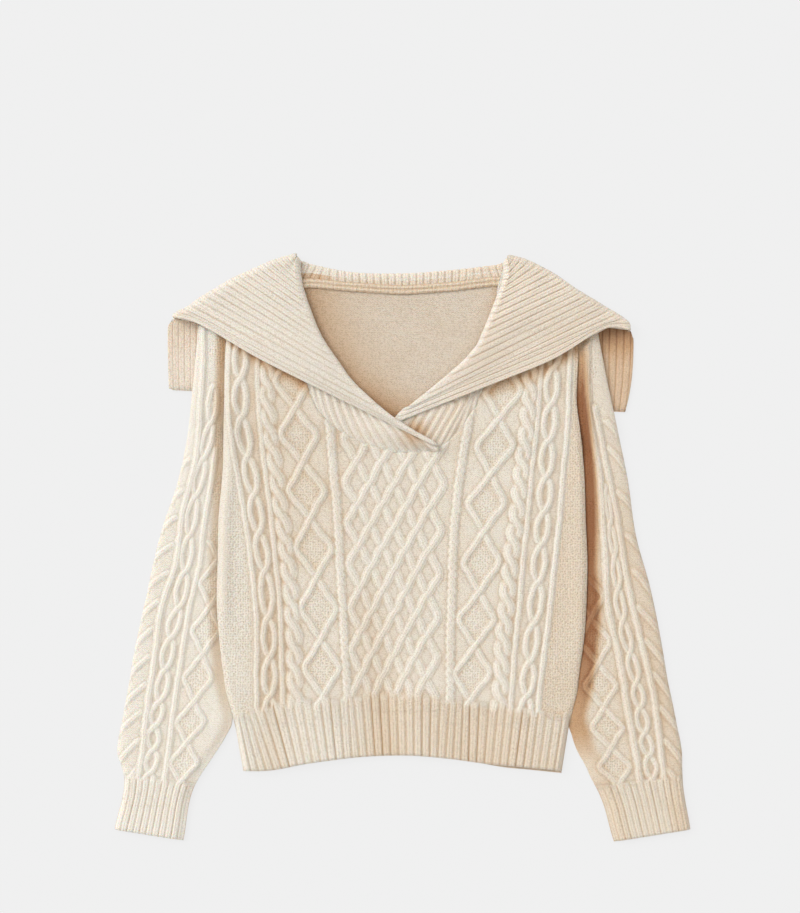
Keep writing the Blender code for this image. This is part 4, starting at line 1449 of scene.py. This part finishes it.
def right_sleeve() -> Sleeve:
    """Lays out the sleeve at +X.

    Returns:
        The sleeve.
    """
    chain = (-242, -216, -186, -157, -122, -85, -48, -10, 28, 66, 104, 142, 180)
    diamond = (-276, -233, -186, -135, -82, -30)
    cables = [
        Column(
            Cable.RIDGE,
            (-290, -270, -217, -154, -107, -64, -14.5, 24, 62, 90, 134, 170),
            (307, 304, 298, 288, 277, 266, 257, 251, 243.8, 238, 229, 220),
            radius=5.2, rise=2.8, low=-300, high=168,
        ),
        Column(
            Cable.CHAIN,
            (-290, -242, -216, -186, -157, -122, -85, -48, -14.5, 24, 62, 90),
            (293, 286, 281, 276, 271, 264, 256, 250, 247, 242, 236.5, 233),
            (6.6, 6.2, 5.2, 3.6, 1.8), chain, 4.0, 2.4, low=-300, high=78,
        ),
        Column(
            Cable.RIDGE,
            (-290, -264, -200, -135, -61, -14, 30, 90, 130, 160, 200),
            (279, 275, 264, 253, 238, 236, 233, 228, 221, 216, 214),
            radius=5.6, rise=3.0, low=-300, high=240,
        ),
        Column(
            Cable.DIAMOND,
            (-290, -276, -233, -186, -135, -80, -30),
            (254, 251, 242, 234, 227, 219, 212),
            (17.5, 17.5), diamond, 4.3, 2.0, low=-290, high=-30,
        ),
    ]
    heights = (-328, -273, -237, -172, -107, -61, 10, 79, 146, 188, 237)
    far = (335, 326, 325, 312, 301, 292, 272, 262, 248, 239, 228)
    lows = (-284, -250, -212, -174, -136, -98)
    strokes = [
        Stroke((290, -54), (265, -22)),
        Stroke((281, -8), (256, 19)),
        Stroke((269, 44), (244, 70)),
        Stroke((259, 92), (235, 121)),
        Stroke((249, 132), (231, 152)),
        *strokes_up(lows, (heights, far), cables[0], 0.02),
    ]
    return Sleeve(
        name="sleeve_right_knit",
        node="sleeve_right",
        heights=(
            *(-328, -271, -257, -237, -224, -208, -195, -180, -157),
            *(-127, -93, -46, 12, 79, 146, 188, 255),
        ),
        far=(
            *(335, 326, 325.5, 325, 323, 319.5, 317, 314, 309),
            *(304, 298, 288, 272, 262, 248, 239, 226),
        ),
        beside=(
            *(246, 227, 220, 211, 204, 198, 195.5, 198, 203),
            *(207.5, 212, 215, 216, 214, 207.5, 204.5, 206),
        ),
        cables=cables,
        strokes=strokes,
        groove=17.5,
        # the sleeve at +X gets more painted shade: a dark groove, darker overall, on its cuff and
        # towards its far rim
        shades=(0.12, 0.46, 0.64, 0.76, 0.80, 0.86, 1.0, 0.86, 0.36),
        flat_shade=8.5,
        painted_shade_tone=0.16,
        cuff_painted_shade=0.05,
        rim_painted_shade=0.12,
        calm=0.9,
        rib_shade=0.46,
        ribs=13,
    )


@dataclass(frozen=True)
class Leaf:
    """A rib of the collar's front: where it is sewn, folded, and goes over the shoulder."""

    share: float
    sewn: Point
    fold: Point
    shoulder: Point


LEFT_LEAF = (
    Leaf(0.00, (43, 113), (39, 117), (-267, 268)),
    Leaf(0.05, (33, 112), (14, 131), (-261.5, 273)),
    Leaf(0.11, (19, 110.5), (-14, 149), (-252.5, 277)),
    Leaf(0.20, (-3, 110.5), (-53, 183), (-238, 287.5)),
    Leaf(0.32, (-33, 117), (-77, 214), (-219, 299)),
    Leaf(0.45, (-66, 131), (-96, 243), (-199, 311)),
    Leaf(0.61, (-98, 160), (-110, 277), (-175, 322)),
    Leaf(0.81, (-111, 225), (-120, 309), (-147, 334)),
    Leaf(0.92, (-113, 268), (-122, 325), (-133, 338)),
    Leaf(1.00, (-113, 300), (-122, 333), (-124, 341)),
)
RIGHT_LEAF = (
    Leaf(0.00, (-20, 110), (-13, 143), (265.5, 252.5)),
    Leaf(0.05, (-9, 110), (-6, 150), (264, 259.5)),
    Leaf(0.11, (4, 109.5), (1, 158), (255.5, 266.5)),
    Leaf(0.22, (27, 110.5), (14, 166), (238, 277)),
    Leaf(0.28, (39, 114), (42, 188.5), (230, 282)),
    Leaf(0.34, (54, 123), (72, 214), (222, 287)),
    Leaf(0.385, (71, 139), (83.5, 227), (216, 290.5)),
    Leaf(0.42, (81, 156), (89, 234.5), (211, 293.5)),
    Leaf(0.46, (89, 174), (92.5, 242.5), (206, 296.5)),
    Leaf(0.73, (99, 215), (112, 290), (169, 321)),
    Leaf(0.88, (104, 250), (120, 312), (142, 334)),
    Leaf(1.00, (112, 305), (121, 331), (123, 339)),
)


@dataclass(frozen=True)
class Wing:
    """One side of the collar: the ribs of its leaf, and how it turns behind the shoulder."""

    leaf: tuple[Leaf, ...] = ()
    edge: float = 0.0
    spread: float = 0.0
    pull: float = 0.0
    corner: float = 0.0
    bow: float = 0.0
    bulge: float = 0.0


LEFT_WING = Wing(LEFT_LEAF, edge=272.5, spread=5.0, corner=1.5, bow=6.5, bulge=1.5)
RIGHT_WING = Wing(RIGHT_LEAF, edge=265.0, spread=1.0, pull=1.5, corner=7.0, bow=13.0, bulge=8.0)
BACK_NECK = Wing()


class Layer(Enum):
    """The two layers of the collar in front."""

    STAND = "from the seam up to the fold"
    LEAF = "from the fold out over the shoulder"


@dataclass(frozen=True)
class RibLine:
    """One rib of the collar in plan. Its side is -1 or 1 in front, 0 at the back neck."""

    sewn: np.ndarray
    fold: np.ndarray
    shoulder: np.ndarray
    free: np.ndarray
    side: float
    from_tip: float
    wing: Wing = BACK_NECK


@dataclass
class Collar:
    """The collar: one ribbed sheet, sewn to the neck, folded and laid over the shoulders."""

    leaf_ribs: int = 20
    neck_ribs: int = 30
    per_rib: int = 8
    stand_rows: int = 14
    fold_rows: int = 8
    leaf_rows: int = 70
    turn_rows: int = 9
    back_rows: int = 16
    rib_rise: float = 1.5
    rib_groove: float = 0.17
    stand_level: float = 6.0
    back_stand_level: float = 1.6
    leaf_level: float = 13.5
    tip_leaf_level: float = 9.0
    overlap_stand_level: float = 13.4
    overlap_leaf_level: float = 17.4
    stand_edge_x: Table = (-13, 10, 57, 106, 154, 202)
    stand_edge_y: Table = (138, 146.7, 164, 183, 202, 229)

    def __post_init__(self) -> None:
        """Counts the ribs, and the rows up to both ends of the leaf."""
        self.total = 2 * self.leaf_ribs + self.neck_ribs
        self.first_leaf = self.stand_rows + self.fold_rows
        self.last_leaf = self.first_leaf + self.leaf_rows

    def level(self, place: np.ndarray, side: float, layer: Layer) -> float:
        """Finds how high the middle of the sheet lies.

        Args:
            place: Place in plan.
            side: -1 or 1 in front, 0 at the back neck.
            layer: Which layer of the front.

        Returns:
            Height over the table.
        """
        if side == 0:
            return COLLAR_LIFT + self.back_stand_level
        low, high, start, reach = {
            (Layer.STAND, -1.0): (self.stand_level, self.overlap_stand_level, -60, 45),
            (Layer.STAND, 1.0): (self.stand_level, self.stand_level, 0, 1),
            (Layer.LEAF, -1.0): (self.leaf_level, self.overlap_leaf_level, -70, 50),
            (Layer.LEAF, 1.0): (self.tip_leaf_level, self.leaf_level, 35, 45),
        }[layer, side]
        rise = (high - low) * ease((place[0] - start) / reach)
        return table_lift(*place, COLLAR_AHEAD) + (low + rise)

    def back_line(self, from_tip: float, share: float) -> RibLine:
        """Lays out a rib at the back neck.

        Args:
            from_tip: Count of ribs from the nearer tip.
            share: Share of the way across the back neck.

        Returns:
            The rib.
        """
        fold_x = -125 + 250 * share
        lean = 8 * ease((fold_x - 75) / 30) - 12 * ease((-70 - fold_x) / 34)
        sewn_x = 0.98 * fold_x + lean
        sewn = np.array([sewn_x, np.interp(sewn_x, BACK_NECK_X, BACK_NECK_Y) + 3.0])
        fold_y = flow(fold_x, (-112, -62, -5, 57, 111), (329, 319, 317, 321, 327))
        fold = np.array([fold_x, fold_y + 3 * ease((abs(fold_x) - 108) / 12)])
        free = np.array([fold_x, free_edge(fold_x)])
        return RibLine(sewn, sewn + 0.6 * (fold - sewn), fold, free, 0.0, from_tip)

    def line(self, rib: float) -> RibLine:
        """Lays out a rib.

        Args:
            rib: Count of ribs from the left tip.

        Returns:
            The rib.
        """
        from_tip = min(rib, self.total - rib)
        if from_tip > self.leaf_ribs:
            return self.back_line(from_tip, (rib - self.leaf_ribs) / self.neck_ribs)
        side, wing = (-1.0, LEFT_WING) if rib <= self.leaf_ribs else (1.0, RIGHT_WING)
        share = from_tip / self.leaf_ribs
        shares = [row.share for row in wing.leaf]
        columns = np.array([(*row.sewn, *row.fold, *row.shoulder) for row in wing.leaf], float).T
        places = np.array([flow(share, shares, column) for column in columns])
        sewn, fold, shoulder = places.reshape(3, 2)
        fan = 1 - ease((from_tip - 5) / 4)
        free_x = shoulder[0] + side * wing.spread * (1 - share)
        free_x = free_x + fan * (side * (wing.edge - 6.6 * from_tip) - free_x)
        corner = (1 - ease(from_tip)) * wing.corner
        free = np.array([free_x - side * 0.6 * corner, free_edge(free_x) + corner])
        pull = side * wing.pull * (1 - ease(from_tip / 2.6))
        return RibLine(sewn, fold, shoulder - (pull, 0.0), free, side, from_tip, wing)

    def course(self, rib: float) -> np.ndarray:
        """Finds the places along a rib, from the seam to the free edge.

        Args:
            rib: Count of ribs from the left tip.

        Returns:
            The places, one for each row of the sheet.
        """
        line = self.line(rib)
        side, front = line.side, line.side != 0
        ways = (line.fold - line.sewn, line.shoulder - line.fold, line.free - line.shoulder)
        stand, leaf, back = (float(np.linalg.norm(way)) for way in ways)
        up, out, under = ways[0] / stand, ways[1] / leaf, ways[2] / back
        opened = ease(line.from_tip / 3.0)
        if front:
            fold_round = min(3.6, 0.4 * leaf, 0.4 * stand)
            shoulder_round = min(2.6 + 3.4 * opened, 0.45 * leaf)
            sewn, sewn_level = self.tucked(line.sewn, up), self.stand_level
        else:
            fold_round, shoulder_round = 0.2 * stand, min(3.2, 0.45 * leaf)
            sewn, sewn_level = line.sewn - up * 2.5, self.back_stand_level
        start_z = table_lift(*sewn, COLLAR_AHEAD) + sewn_level - 2.4
        near_fold = line.fold - up * fold_round
        leaf_start = line.fold + out * fold_round
        leaf_end = line.shoulder - out * shoulder_round
        settled = max(min(14.0, 0.4 * stand) / stand, 0.25)
        points = []
        for share, place in self.stand_path(sewn, near_fold, side):
            rise = self.level(place, side, Layer.STAND) - start_z
            points.append((*place, start_z + rise * ease(share / settled)))
        stand_z = self.level(near_fold, side, Layer.STAND)
        leaf_z = self.level(leaf_start, side, Layer.LEAF)
        way = line.fold - 0.5 * (near_fold + leaf_start)
        size = float(np.linalg.norm(way))
        way = way / size if size > 1e-6 else 0 * way
        for turn in np.radians(np.linspace(-90, 90, self.fold_rows, endpoint=False)):
            share = 0.5 + 0.5 * math.sin(turn)
            point = near_fold + (leaf_start - near_fold) * share
            point = point + way * fold_round * math.cos(turn)
            points.append((*point, stand_z + (leaf_z - stand_z) * share))
        for share in np.linspace(0, 1, self.leaf_rows):
            point = leaf_start + (leaf_end - leaf_start) * share
            bend = (max(share - 0.6, 0.0) / 0.4) ** 2.2
            point[1] += line.wing.bow * (1 - opened) * math.sin(math.pi * bend)
            points.append((*point, self.level(point, side, Layer.LEAF)))
        low, top = COLLAR_CLOTH / 2, points[-1][2]
        for turn in np.radians(np.linspace(90, -90, self.turn_rows + 1)[1:]):
            reach = shoulder_round * math.cos(turn)
            share = 0.5 - 0.5 * math.sin(turn)
            if share < 0.5:
                point = leaf_end + (out * (1 - share) - under * share) * reach
            else:
                point = line.shoulder - out * (shoulder_round - reach)
                point = point + under * shoulder_round * (share - 0.5)
            points.append((*point, low + (top - low) * (1 - share)))
        last = np.array(points[-1][:2])
        bulge = side * line.wing.bulge * (1 - ease(line.from_tip / 6.0))
        for share in np.linspace(0, 1, self.back_rows + 1)[1:] ** 1.5:
            point = last + (line.free - last) * share
            point[0] = last[0] + (line.free[0] - last[0]) * ease(share * back / 6)
            point[0] += bulge * (1 - share**3) * ease(share * back / 3)
            points.append((*point, low))
        return np.array(points)

    def stand_path(
        self, sewn: np.ndarray, fold: np.ndarray, side: float
    ) -> list[tuple[float, np.ndarray]]:
        """Runs a rib over the stand, straight where it shows below the leaf.

        Args:
            sewn: Where the rib starts in the seam.
            fold: Where it has to end, just before the fold.
            side: -1 on the left, 1 on the right, 0 at the back neck.

        Returns:
            Shares of the way up the stand, and the places.
        """
        shares = np.linspace(0, 1, self.stand_rows, endpoint=False)
        if side == 0:
            return [(v, sewn + (fold - sewn) * v) for v in shares]
        slant = math.radians(60 + 24 * ease((sewn[0] - 42) / 56) if side > 0 else 57)
        way = np.array([side * math.cos(slant), math.sin(slant)])
        if side < 0:
            bend = sewn + way * min(0.5 * float(np.linalg.norm(fold - sewn)), 42.0)
            ahead = sewn + (fold - sewn) * 2 / 3
            found = []
            for v in shares**1.3:
                start = (1 - v) ** 3 * sewn + 3 * (1 - v) ** 2 * v * bend
                found.append((v, start + 3 * (1 - v) * v * v * ahead + v**3 * fold))
            return found
        for reach in np.arange(6.0, 71.0):
            point = sewn + way * reach
            if point[1] > np.interp(point[0], self.stand_edge_x, self.stand_edge_y) + 7:
                break
        split = (self.stand_rows - 4) / self.stand_rows
        return [
            (v, sewn + (point - sewn) * v / split)
            if v < split
            else (v, point + (fold - point) * (v - split) / (1 - split))
            for v in shares
        ]

    @staticmethod
    def tucked(sewn: np.ndarray, way: np.ndarray) -> np.ndarray:
        """Moves a sewn point back along its rib until it is tucked into the seam.

        Args:
            sewn: The sewn point.
            way: Direction of the rib.

        Returns:
            The tucked point.
        """
        for step in np.arange(0.0, 16.0, 0.5):
            point = sewn - way * step
            if point[1] < np.interp(point[0], NECK_X, NECK_Y) - 1.5:
                return point
        return sewn - way * 5.0

    def swell(self, ribs: np.ndarray, along: np.ndarray) -> np.ndarray:
        """Lifts and lowers the leaves slowly, so that they don't lie like a board.

        Args:
            ribs: Counts of ribs from the left tip.
            along: Shares of the way along the leaf.

        Returns:
            Heights.
        """
        from_tip = np.minimum(ribs, self.total - ribs)
        wave = 0.7 * np.sin(ribs * 0.55 + along * 3.1) * np.sin(along * np.pi)
        wave = wave + 0.5 * np.sin(ribs * 0.21 + 1.0) * np.sin(along * 2 * np.pi)
        wave = wave * ease(along * (1 - along) * 8) * ease(from_tip / 3)
        return np.where(from_tip > self.leaf_ribs, 0.0, wave)

    def upper_ribs(self, ribs: np.ndarray, along: np.ndarray, arc: np.ndarray) -> np.ndarray:
        """Finds how far the ribs of the upper side stand out, less at the folds.

        Args:
            ribs: Counts of ribs from the left tip.
            along: Shares of the way along the leaf.
            arc: Lengths from the seam.

        Returns:
            Shares of the full rise.
        """
        row = np.arange(len(arc))[:, None]
        fade = 0.35 + 0.65 * ease((along + 0.01) / 0.05)
        fade = np.where(ribs > self.total / 2, 0.4 + 0.6 * fade, fade)
        patch = 0.5 + 0.5 * np.sin(ribs * 1.9 + 9.0 * along + 1.3)
        fade = fade * (0.62 + 0.38 * np.where(along < 0.98, patch, 1.0))
        outer_fold = abs(arc - arc[self.last_leaf + 3])
        inner_fold = abs(arc - arc[self.stand_rows + self.fold_rows // 2])
        fade = fade * (0.1 + 0.9 * ease((outer_fold - 3) / 12))
        fade = fade * (0.35 + 0.65 * ease((inner_fold - 1.2) / 4))
        behind = np.minimum(ribs, self.total - ribs) > self.leaf_ribs
        upper = np.where(behind, 0.6, (row >= self.stand_rows + 2) * fade)
        return np.where(row >= self.last_leaf + self.turn_rows - 2, 0.0, upper)

    def shades(self, middle: np.ndarray, behind: np.ndarray) -> tuple[np.ndarray, np.ndarray]:
        """Paints shade on both sides of the sheet as a whole: the part behind the shoulders, the
        right leaf, the back neck ribs towards the left corner, the wings, and the stand where the
        leaves cross.

        Args:
            middle: Places of the sheet.
            behind: Which ribs belong to the back neck.

        Returns:
            Shares of shade of the upper and of the under side.
        """
        x, y = middle[..., 0], middle[..., 1]
        row = np.arange(len(middle))[:, None]
        upper = 0.3 * (row > self.last_leaf + self.turn_rows)
        upper = upper + 0.17 * ease(x / 90) * (row >= self.first_leaf)
        corner = 0.24 + 0.28 * ease((-72 - x) / 26)
        upper = upper + np.where(row < self.stand_rows + 3, corner, 0.08) * behind
        wings = np.where(x > 0, 0.50, 0.13) + ease((y - 205) / 50) * np.where(x > 0, 0.30, 0.14)
        stand = 0.66 * hill(x, 15, 16) * hill(y, 134, 14) + 0.12 * ease((x - 20) / 40)
        under = wings * (row > self.last_leaf + 2) + stand * (row < self.stand_rows + 2)
        return upper, under

    def faces(self) -> tuple[Face, Face]:
        """Builds both faces of the sheet.

        Returns:
            The upper side and the under side.
        """
        ribs = np.linspace(0, self.total, self.total * self.per_rib + 1)
        middle = np.array([self.course(float(rib)) for rib in ribs]).transpose(1, 0, 2)
        for _ in range(2):
            middle[1:-1] = 0.25 * middle[:-2] + 0.5 * middle[1:-1] + 0.25 * middle[2:]
        along, across = np.gradient(middle, axis=0), np.gradient(middle, axis=1)
        normal = np.cross(across, along)
        size, length = np.linalg.norm(normal, axis=2), np.linalg.norm(along, axis=2)
        normal /= size[..., None]
        arc = np.cumsum(length, axis=0)
        from_side = np.minimum(ribs, self.total - ribs)
        behind = from_side > self.leaf_ribs
        selvedge = 1 - ease((from_side - 0.2) / 0.8)
        shape = rib_shape(ribs, self.rib_groove) * (1 - selvedge) + 0.9 * selvedge
        soft = (0.5 - 0.5 * np.cos(2 * np.pi * ribs)) * (1 - selvedge) + 0.9 * selvedge
        row = np.arange(len(middle))[:, None]
        in_stand, in_wing = row < self.stand_rows, row >= self.last_leaf + 2
        leaf_share = np.clip((row - self.first_leaf) / self.leaf_rows, 0.0, 1.0)
        swell = self.swell(ribs, leaf_share)
        half = COLLAR_CLOTH / 2
        upper = self.upper_ribs(ribs, leaf_share, arc)
        outer = middle + normal * (half + self.rib_rise * upper * (shape - 0.4))[..., None]
        outer[..., 2] += swell
        outer[self.last_leaf + self.turn_rows :, :, 2] = 0.0
        on_left = middle[..., 0] < 0
        clear = ease((size / length * self.per_rib - 2.5) / 5)
        under_ribs = np.where(in_stand, 0.5 + (1.15 * soft - 0.5) * clear, shape) - 0.5
        strength = np.where(in_wing, 0.52 - 0.16 * on_left, 0.9) * (in_stand | in_wing)
        strength = strength * np.where(behind & in_stand, 0.3, 1.0)
        inner = middle - normal * (half + self.rib_rise * strength * under_ribs)[..., None]
        inner[..., 2] += swell
        groove = 1 - np.clip(shape, 0, 1)
        upper_painted_shade, under_painted_shade = self.shades(middle, behind)
        # painted shade in the grooves of the upper side's ribs
        lean = np.clip(np.where(middle[..., 0] > 60, 0.34, 0.37) * groove * upper, 0, 1)
        # painted shade in the grooves of the stand and the wings on the under side
        gaps = np.where(in_stand, clear * (1 - soft) ** 1.6, groove) * (in_stand | in_wing)
        shade = np.where(in_wing, 0.18 - 0.08 * on_left, 0.20) * gaps + under_painted_shade
        pitch = np.linalg.norm(across, axis=2) * self.per_rib
        flat = np.zeros(arc.shape)
        thread = np.stack([(ribs % 1 - 0.5) * pitch, arc, flat], axis=2)
        knit = np.where(in_wing, 0.35, 1.0) + flat
        kept = [
            *range(self.stand_rows + 1),
            *range(self.stand_rows + 2, self.first_leaf, 2),
            *range(self.first_leaf, self.last_leaf, 7),
            *range(self.last_leaf, len(middle)),
        ]
        top = Face(outer, thread, knit, flat, np.clip(lean + upper_painted_shade, 0, 1))
        facts = (inner, thread, knit, flat, np.clip(shade, 0, 1))
        return top, Face(*(fact[kept] for fact in facts))

    def build(self) -> bpy.types.Object:
        """Builds and dresses the collar.

        Returns:
            The piece.
        """
        outer, inner = self.faces()
        piece = Wall("collar_knit", outer, inner, LEAF).build()
        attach(piece, "root")
        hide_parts("collar")
        return piece


@dataclass
class NeckBand:
    """The linked double ridge over the back neck seam."""

    half: float = 5.3
    side: float = 0.48
    rise: float = 2.0
    link: float = 4.6
    columns: int = 280
    rows: int = 15

    def build(self) -> bpy.types.Object:
        """Builds and dresses the band.

        Returns:
            The piece.
        """
        x = np.linspace(-117, 115, self.columns)
        y = np.interp(x, BACK_NECK_X, BACK_NECK_Y) + 1.6
        y = blurred(y[None, :], 0, 8)[0]
        low = COLLAR_LIFT + CLOTH + LAYER_GAP
        side = np.linspace(-1, 1, self.rows)[:, None]
        links = 0.35 * np.sin(x * 2 * np.pi / self.link)[None, :]
        ridge = hill(side, -self.side, 0.36) + hill(side, self.side, 0.36)
        z = low + 0.8 + ridge * (self.rise + links) + 0.15 * np.sin(x * 0.9)[None, :]
        wave = 0.25 * np.sin(x * np.pi / self.link)[None, :]
        rows_y = y[None, :] + side * self.half + wave * abs(side)
        grid_x = np.repeat(x[None, :], self.rows, axis=0)
        # painted shade: even, and darker between and beside the two ridges
        shade = 0.31 + 0.3 * (1 - np.clip(ridge, 0, 1))
        outer = Face.plain(np.stack([grid_x, rows_y, z], axis=2), shade, 1.0)
        outer.thread = np.stack([rows_y, grid_x, 0 * z], axis=2)
        rims = outer.places[[0, -1]].copy()
        rims[..., 2] = low
        piece = Wall("neck_band_knit", outer, Face.plain(rims), CREAM).build()
        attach(piece, "root")
        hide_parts("neck_seam_band")
        return piece


# Studio --------------------------------------------------------------------------


@dataclass(frozen=True)
class Studio:
    """Pale floor, soft light from the upper left, and a camera straight above."""

    floor_colour: Colour = (0.09, 0.091, 0.0925)
    glow: float = 0.769
    sky: float = 0.715
    sky_colour: Colour = (1.0, 0.988, 0.965)
    key_power: float = 1.93
    key_place: tuple[float, float, float] = (-1.5, 1.0, 1.6)
    frame_height: float = 1.0591
    lens: float = 85.0
    centre: tuple[float, float] = (-0.0029, 0.1056)

    def floor(self) -> None:
        """Lays the floor just under the sweater."""
        bm = bmesh.new()
        bmesh.ops.create_grid(bm, x_segments=1, y_segments=1, size=6.0)
        bmesh.ops.translate(bm, verts=bm.verts, vec=(0.0, 0.0, -0.0004))
        mesh = bpy.data.meshes.new("floor")
        bm.to_mesh(mesh)
        bm.free()
        material = bpy.data.materials.new("pale_floor")
        graph = Graph(material)
        shader, glow, both = (graph.node(k) for k in ("BsdfDiffuse", "Emission", "AddShader"))
        graph.put(shader, Color=(*self.floor_colour, 1.0))
        graph.put(glow, Strength=self.glow)
        graph.link(shader.outputs[0], both.inputs[0])
        graph.link(glow.outputs[0], both.inputs[1])
        graph.put(graph.node("OutputMaterial"), Surface=both.outputs[0])
        mesh.materials.append(material)
        made = bpy.data.objects.new("floor", mesh)
        bpy.context.scene.collection.objects.link(made)

    def lights(self) -> None:
        """Sets the soft sky and the large key light."""
        world = bpy.data.worlds.new("studio_sky")
        world.use_nodes = True
        sky = world.node_tree.nodes["Background"]
        sky.inputs["Color"].default_value = (*self.sky_colour, 1.0)
        sky.inputs["Strength"].default_value = self.sky
        bpy.context.scene.world = world
        key = bpy.data.lights.new("key", "SUN")
        key.energy = self.key_power
        key.angle = math.radians(38)
        made = bpy.data.objects.new("key", key)
        made.location = self.key_place
        made.rotation_euler = (-made.location).to_track_quat("-Z", "Y").to_euler()
        bpy.context.scene.collection.objects.link(made)

    def camera(self) -> None:
        """Hangs the camera straight above, so that the frame has the wanted height."""
        data = bpy.data.cameras.new("camera")
        data.lens = self.lens
        data.sensor_fit = "VERTICAL"
        data.sensor_height = 36.0
        data.clip_end = 20.0
        made = bpy.data.objects.new("camera", data)
        distance = self.frame_height * self.lens / data.sensor_height
        made.location = (*self.centre, distance + 0.01)
        bpy.context.scene.collection.objects.link(made)
        bpy.context.scene.camera = made
        bpy.context.scene.view_settings.view_transform = "Standard"

    def build(self) -> None:
        """Builds the floor, the lights and the camera."""
        self.floor()
        self.lights()
        self.camera()


def clear_defaults() -> None:
    """Removes the objects that a new file starts with."""
    for name in ("Cube", "Light", "Camera"):
        found = bpy.data.objects.get(name)
        if found is not None:
            bpy.data.objects.remove(found, do_unlink=True)


def main() -> None:
    """Builds the sweater piece by piece, then the studio."""
    logging.basicConfig(level=logging.INFO, format="%(name)s: %(message)s")
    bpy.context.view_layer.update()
    clear_defaults()
    parts = (BackPanel(), FrontPanel(), left_sleeve(), right_sleeve(), NeckBand(), Collar())
    for part in parts:
        piece = part.build()
        triangles = sum(len(face.vertices) - 2 for face in piece.data.polygons)
        LOG.info("%s: %d triangles", piece.name, triangles)
    Studio().build()


if __name__ == "__main__":
    main()
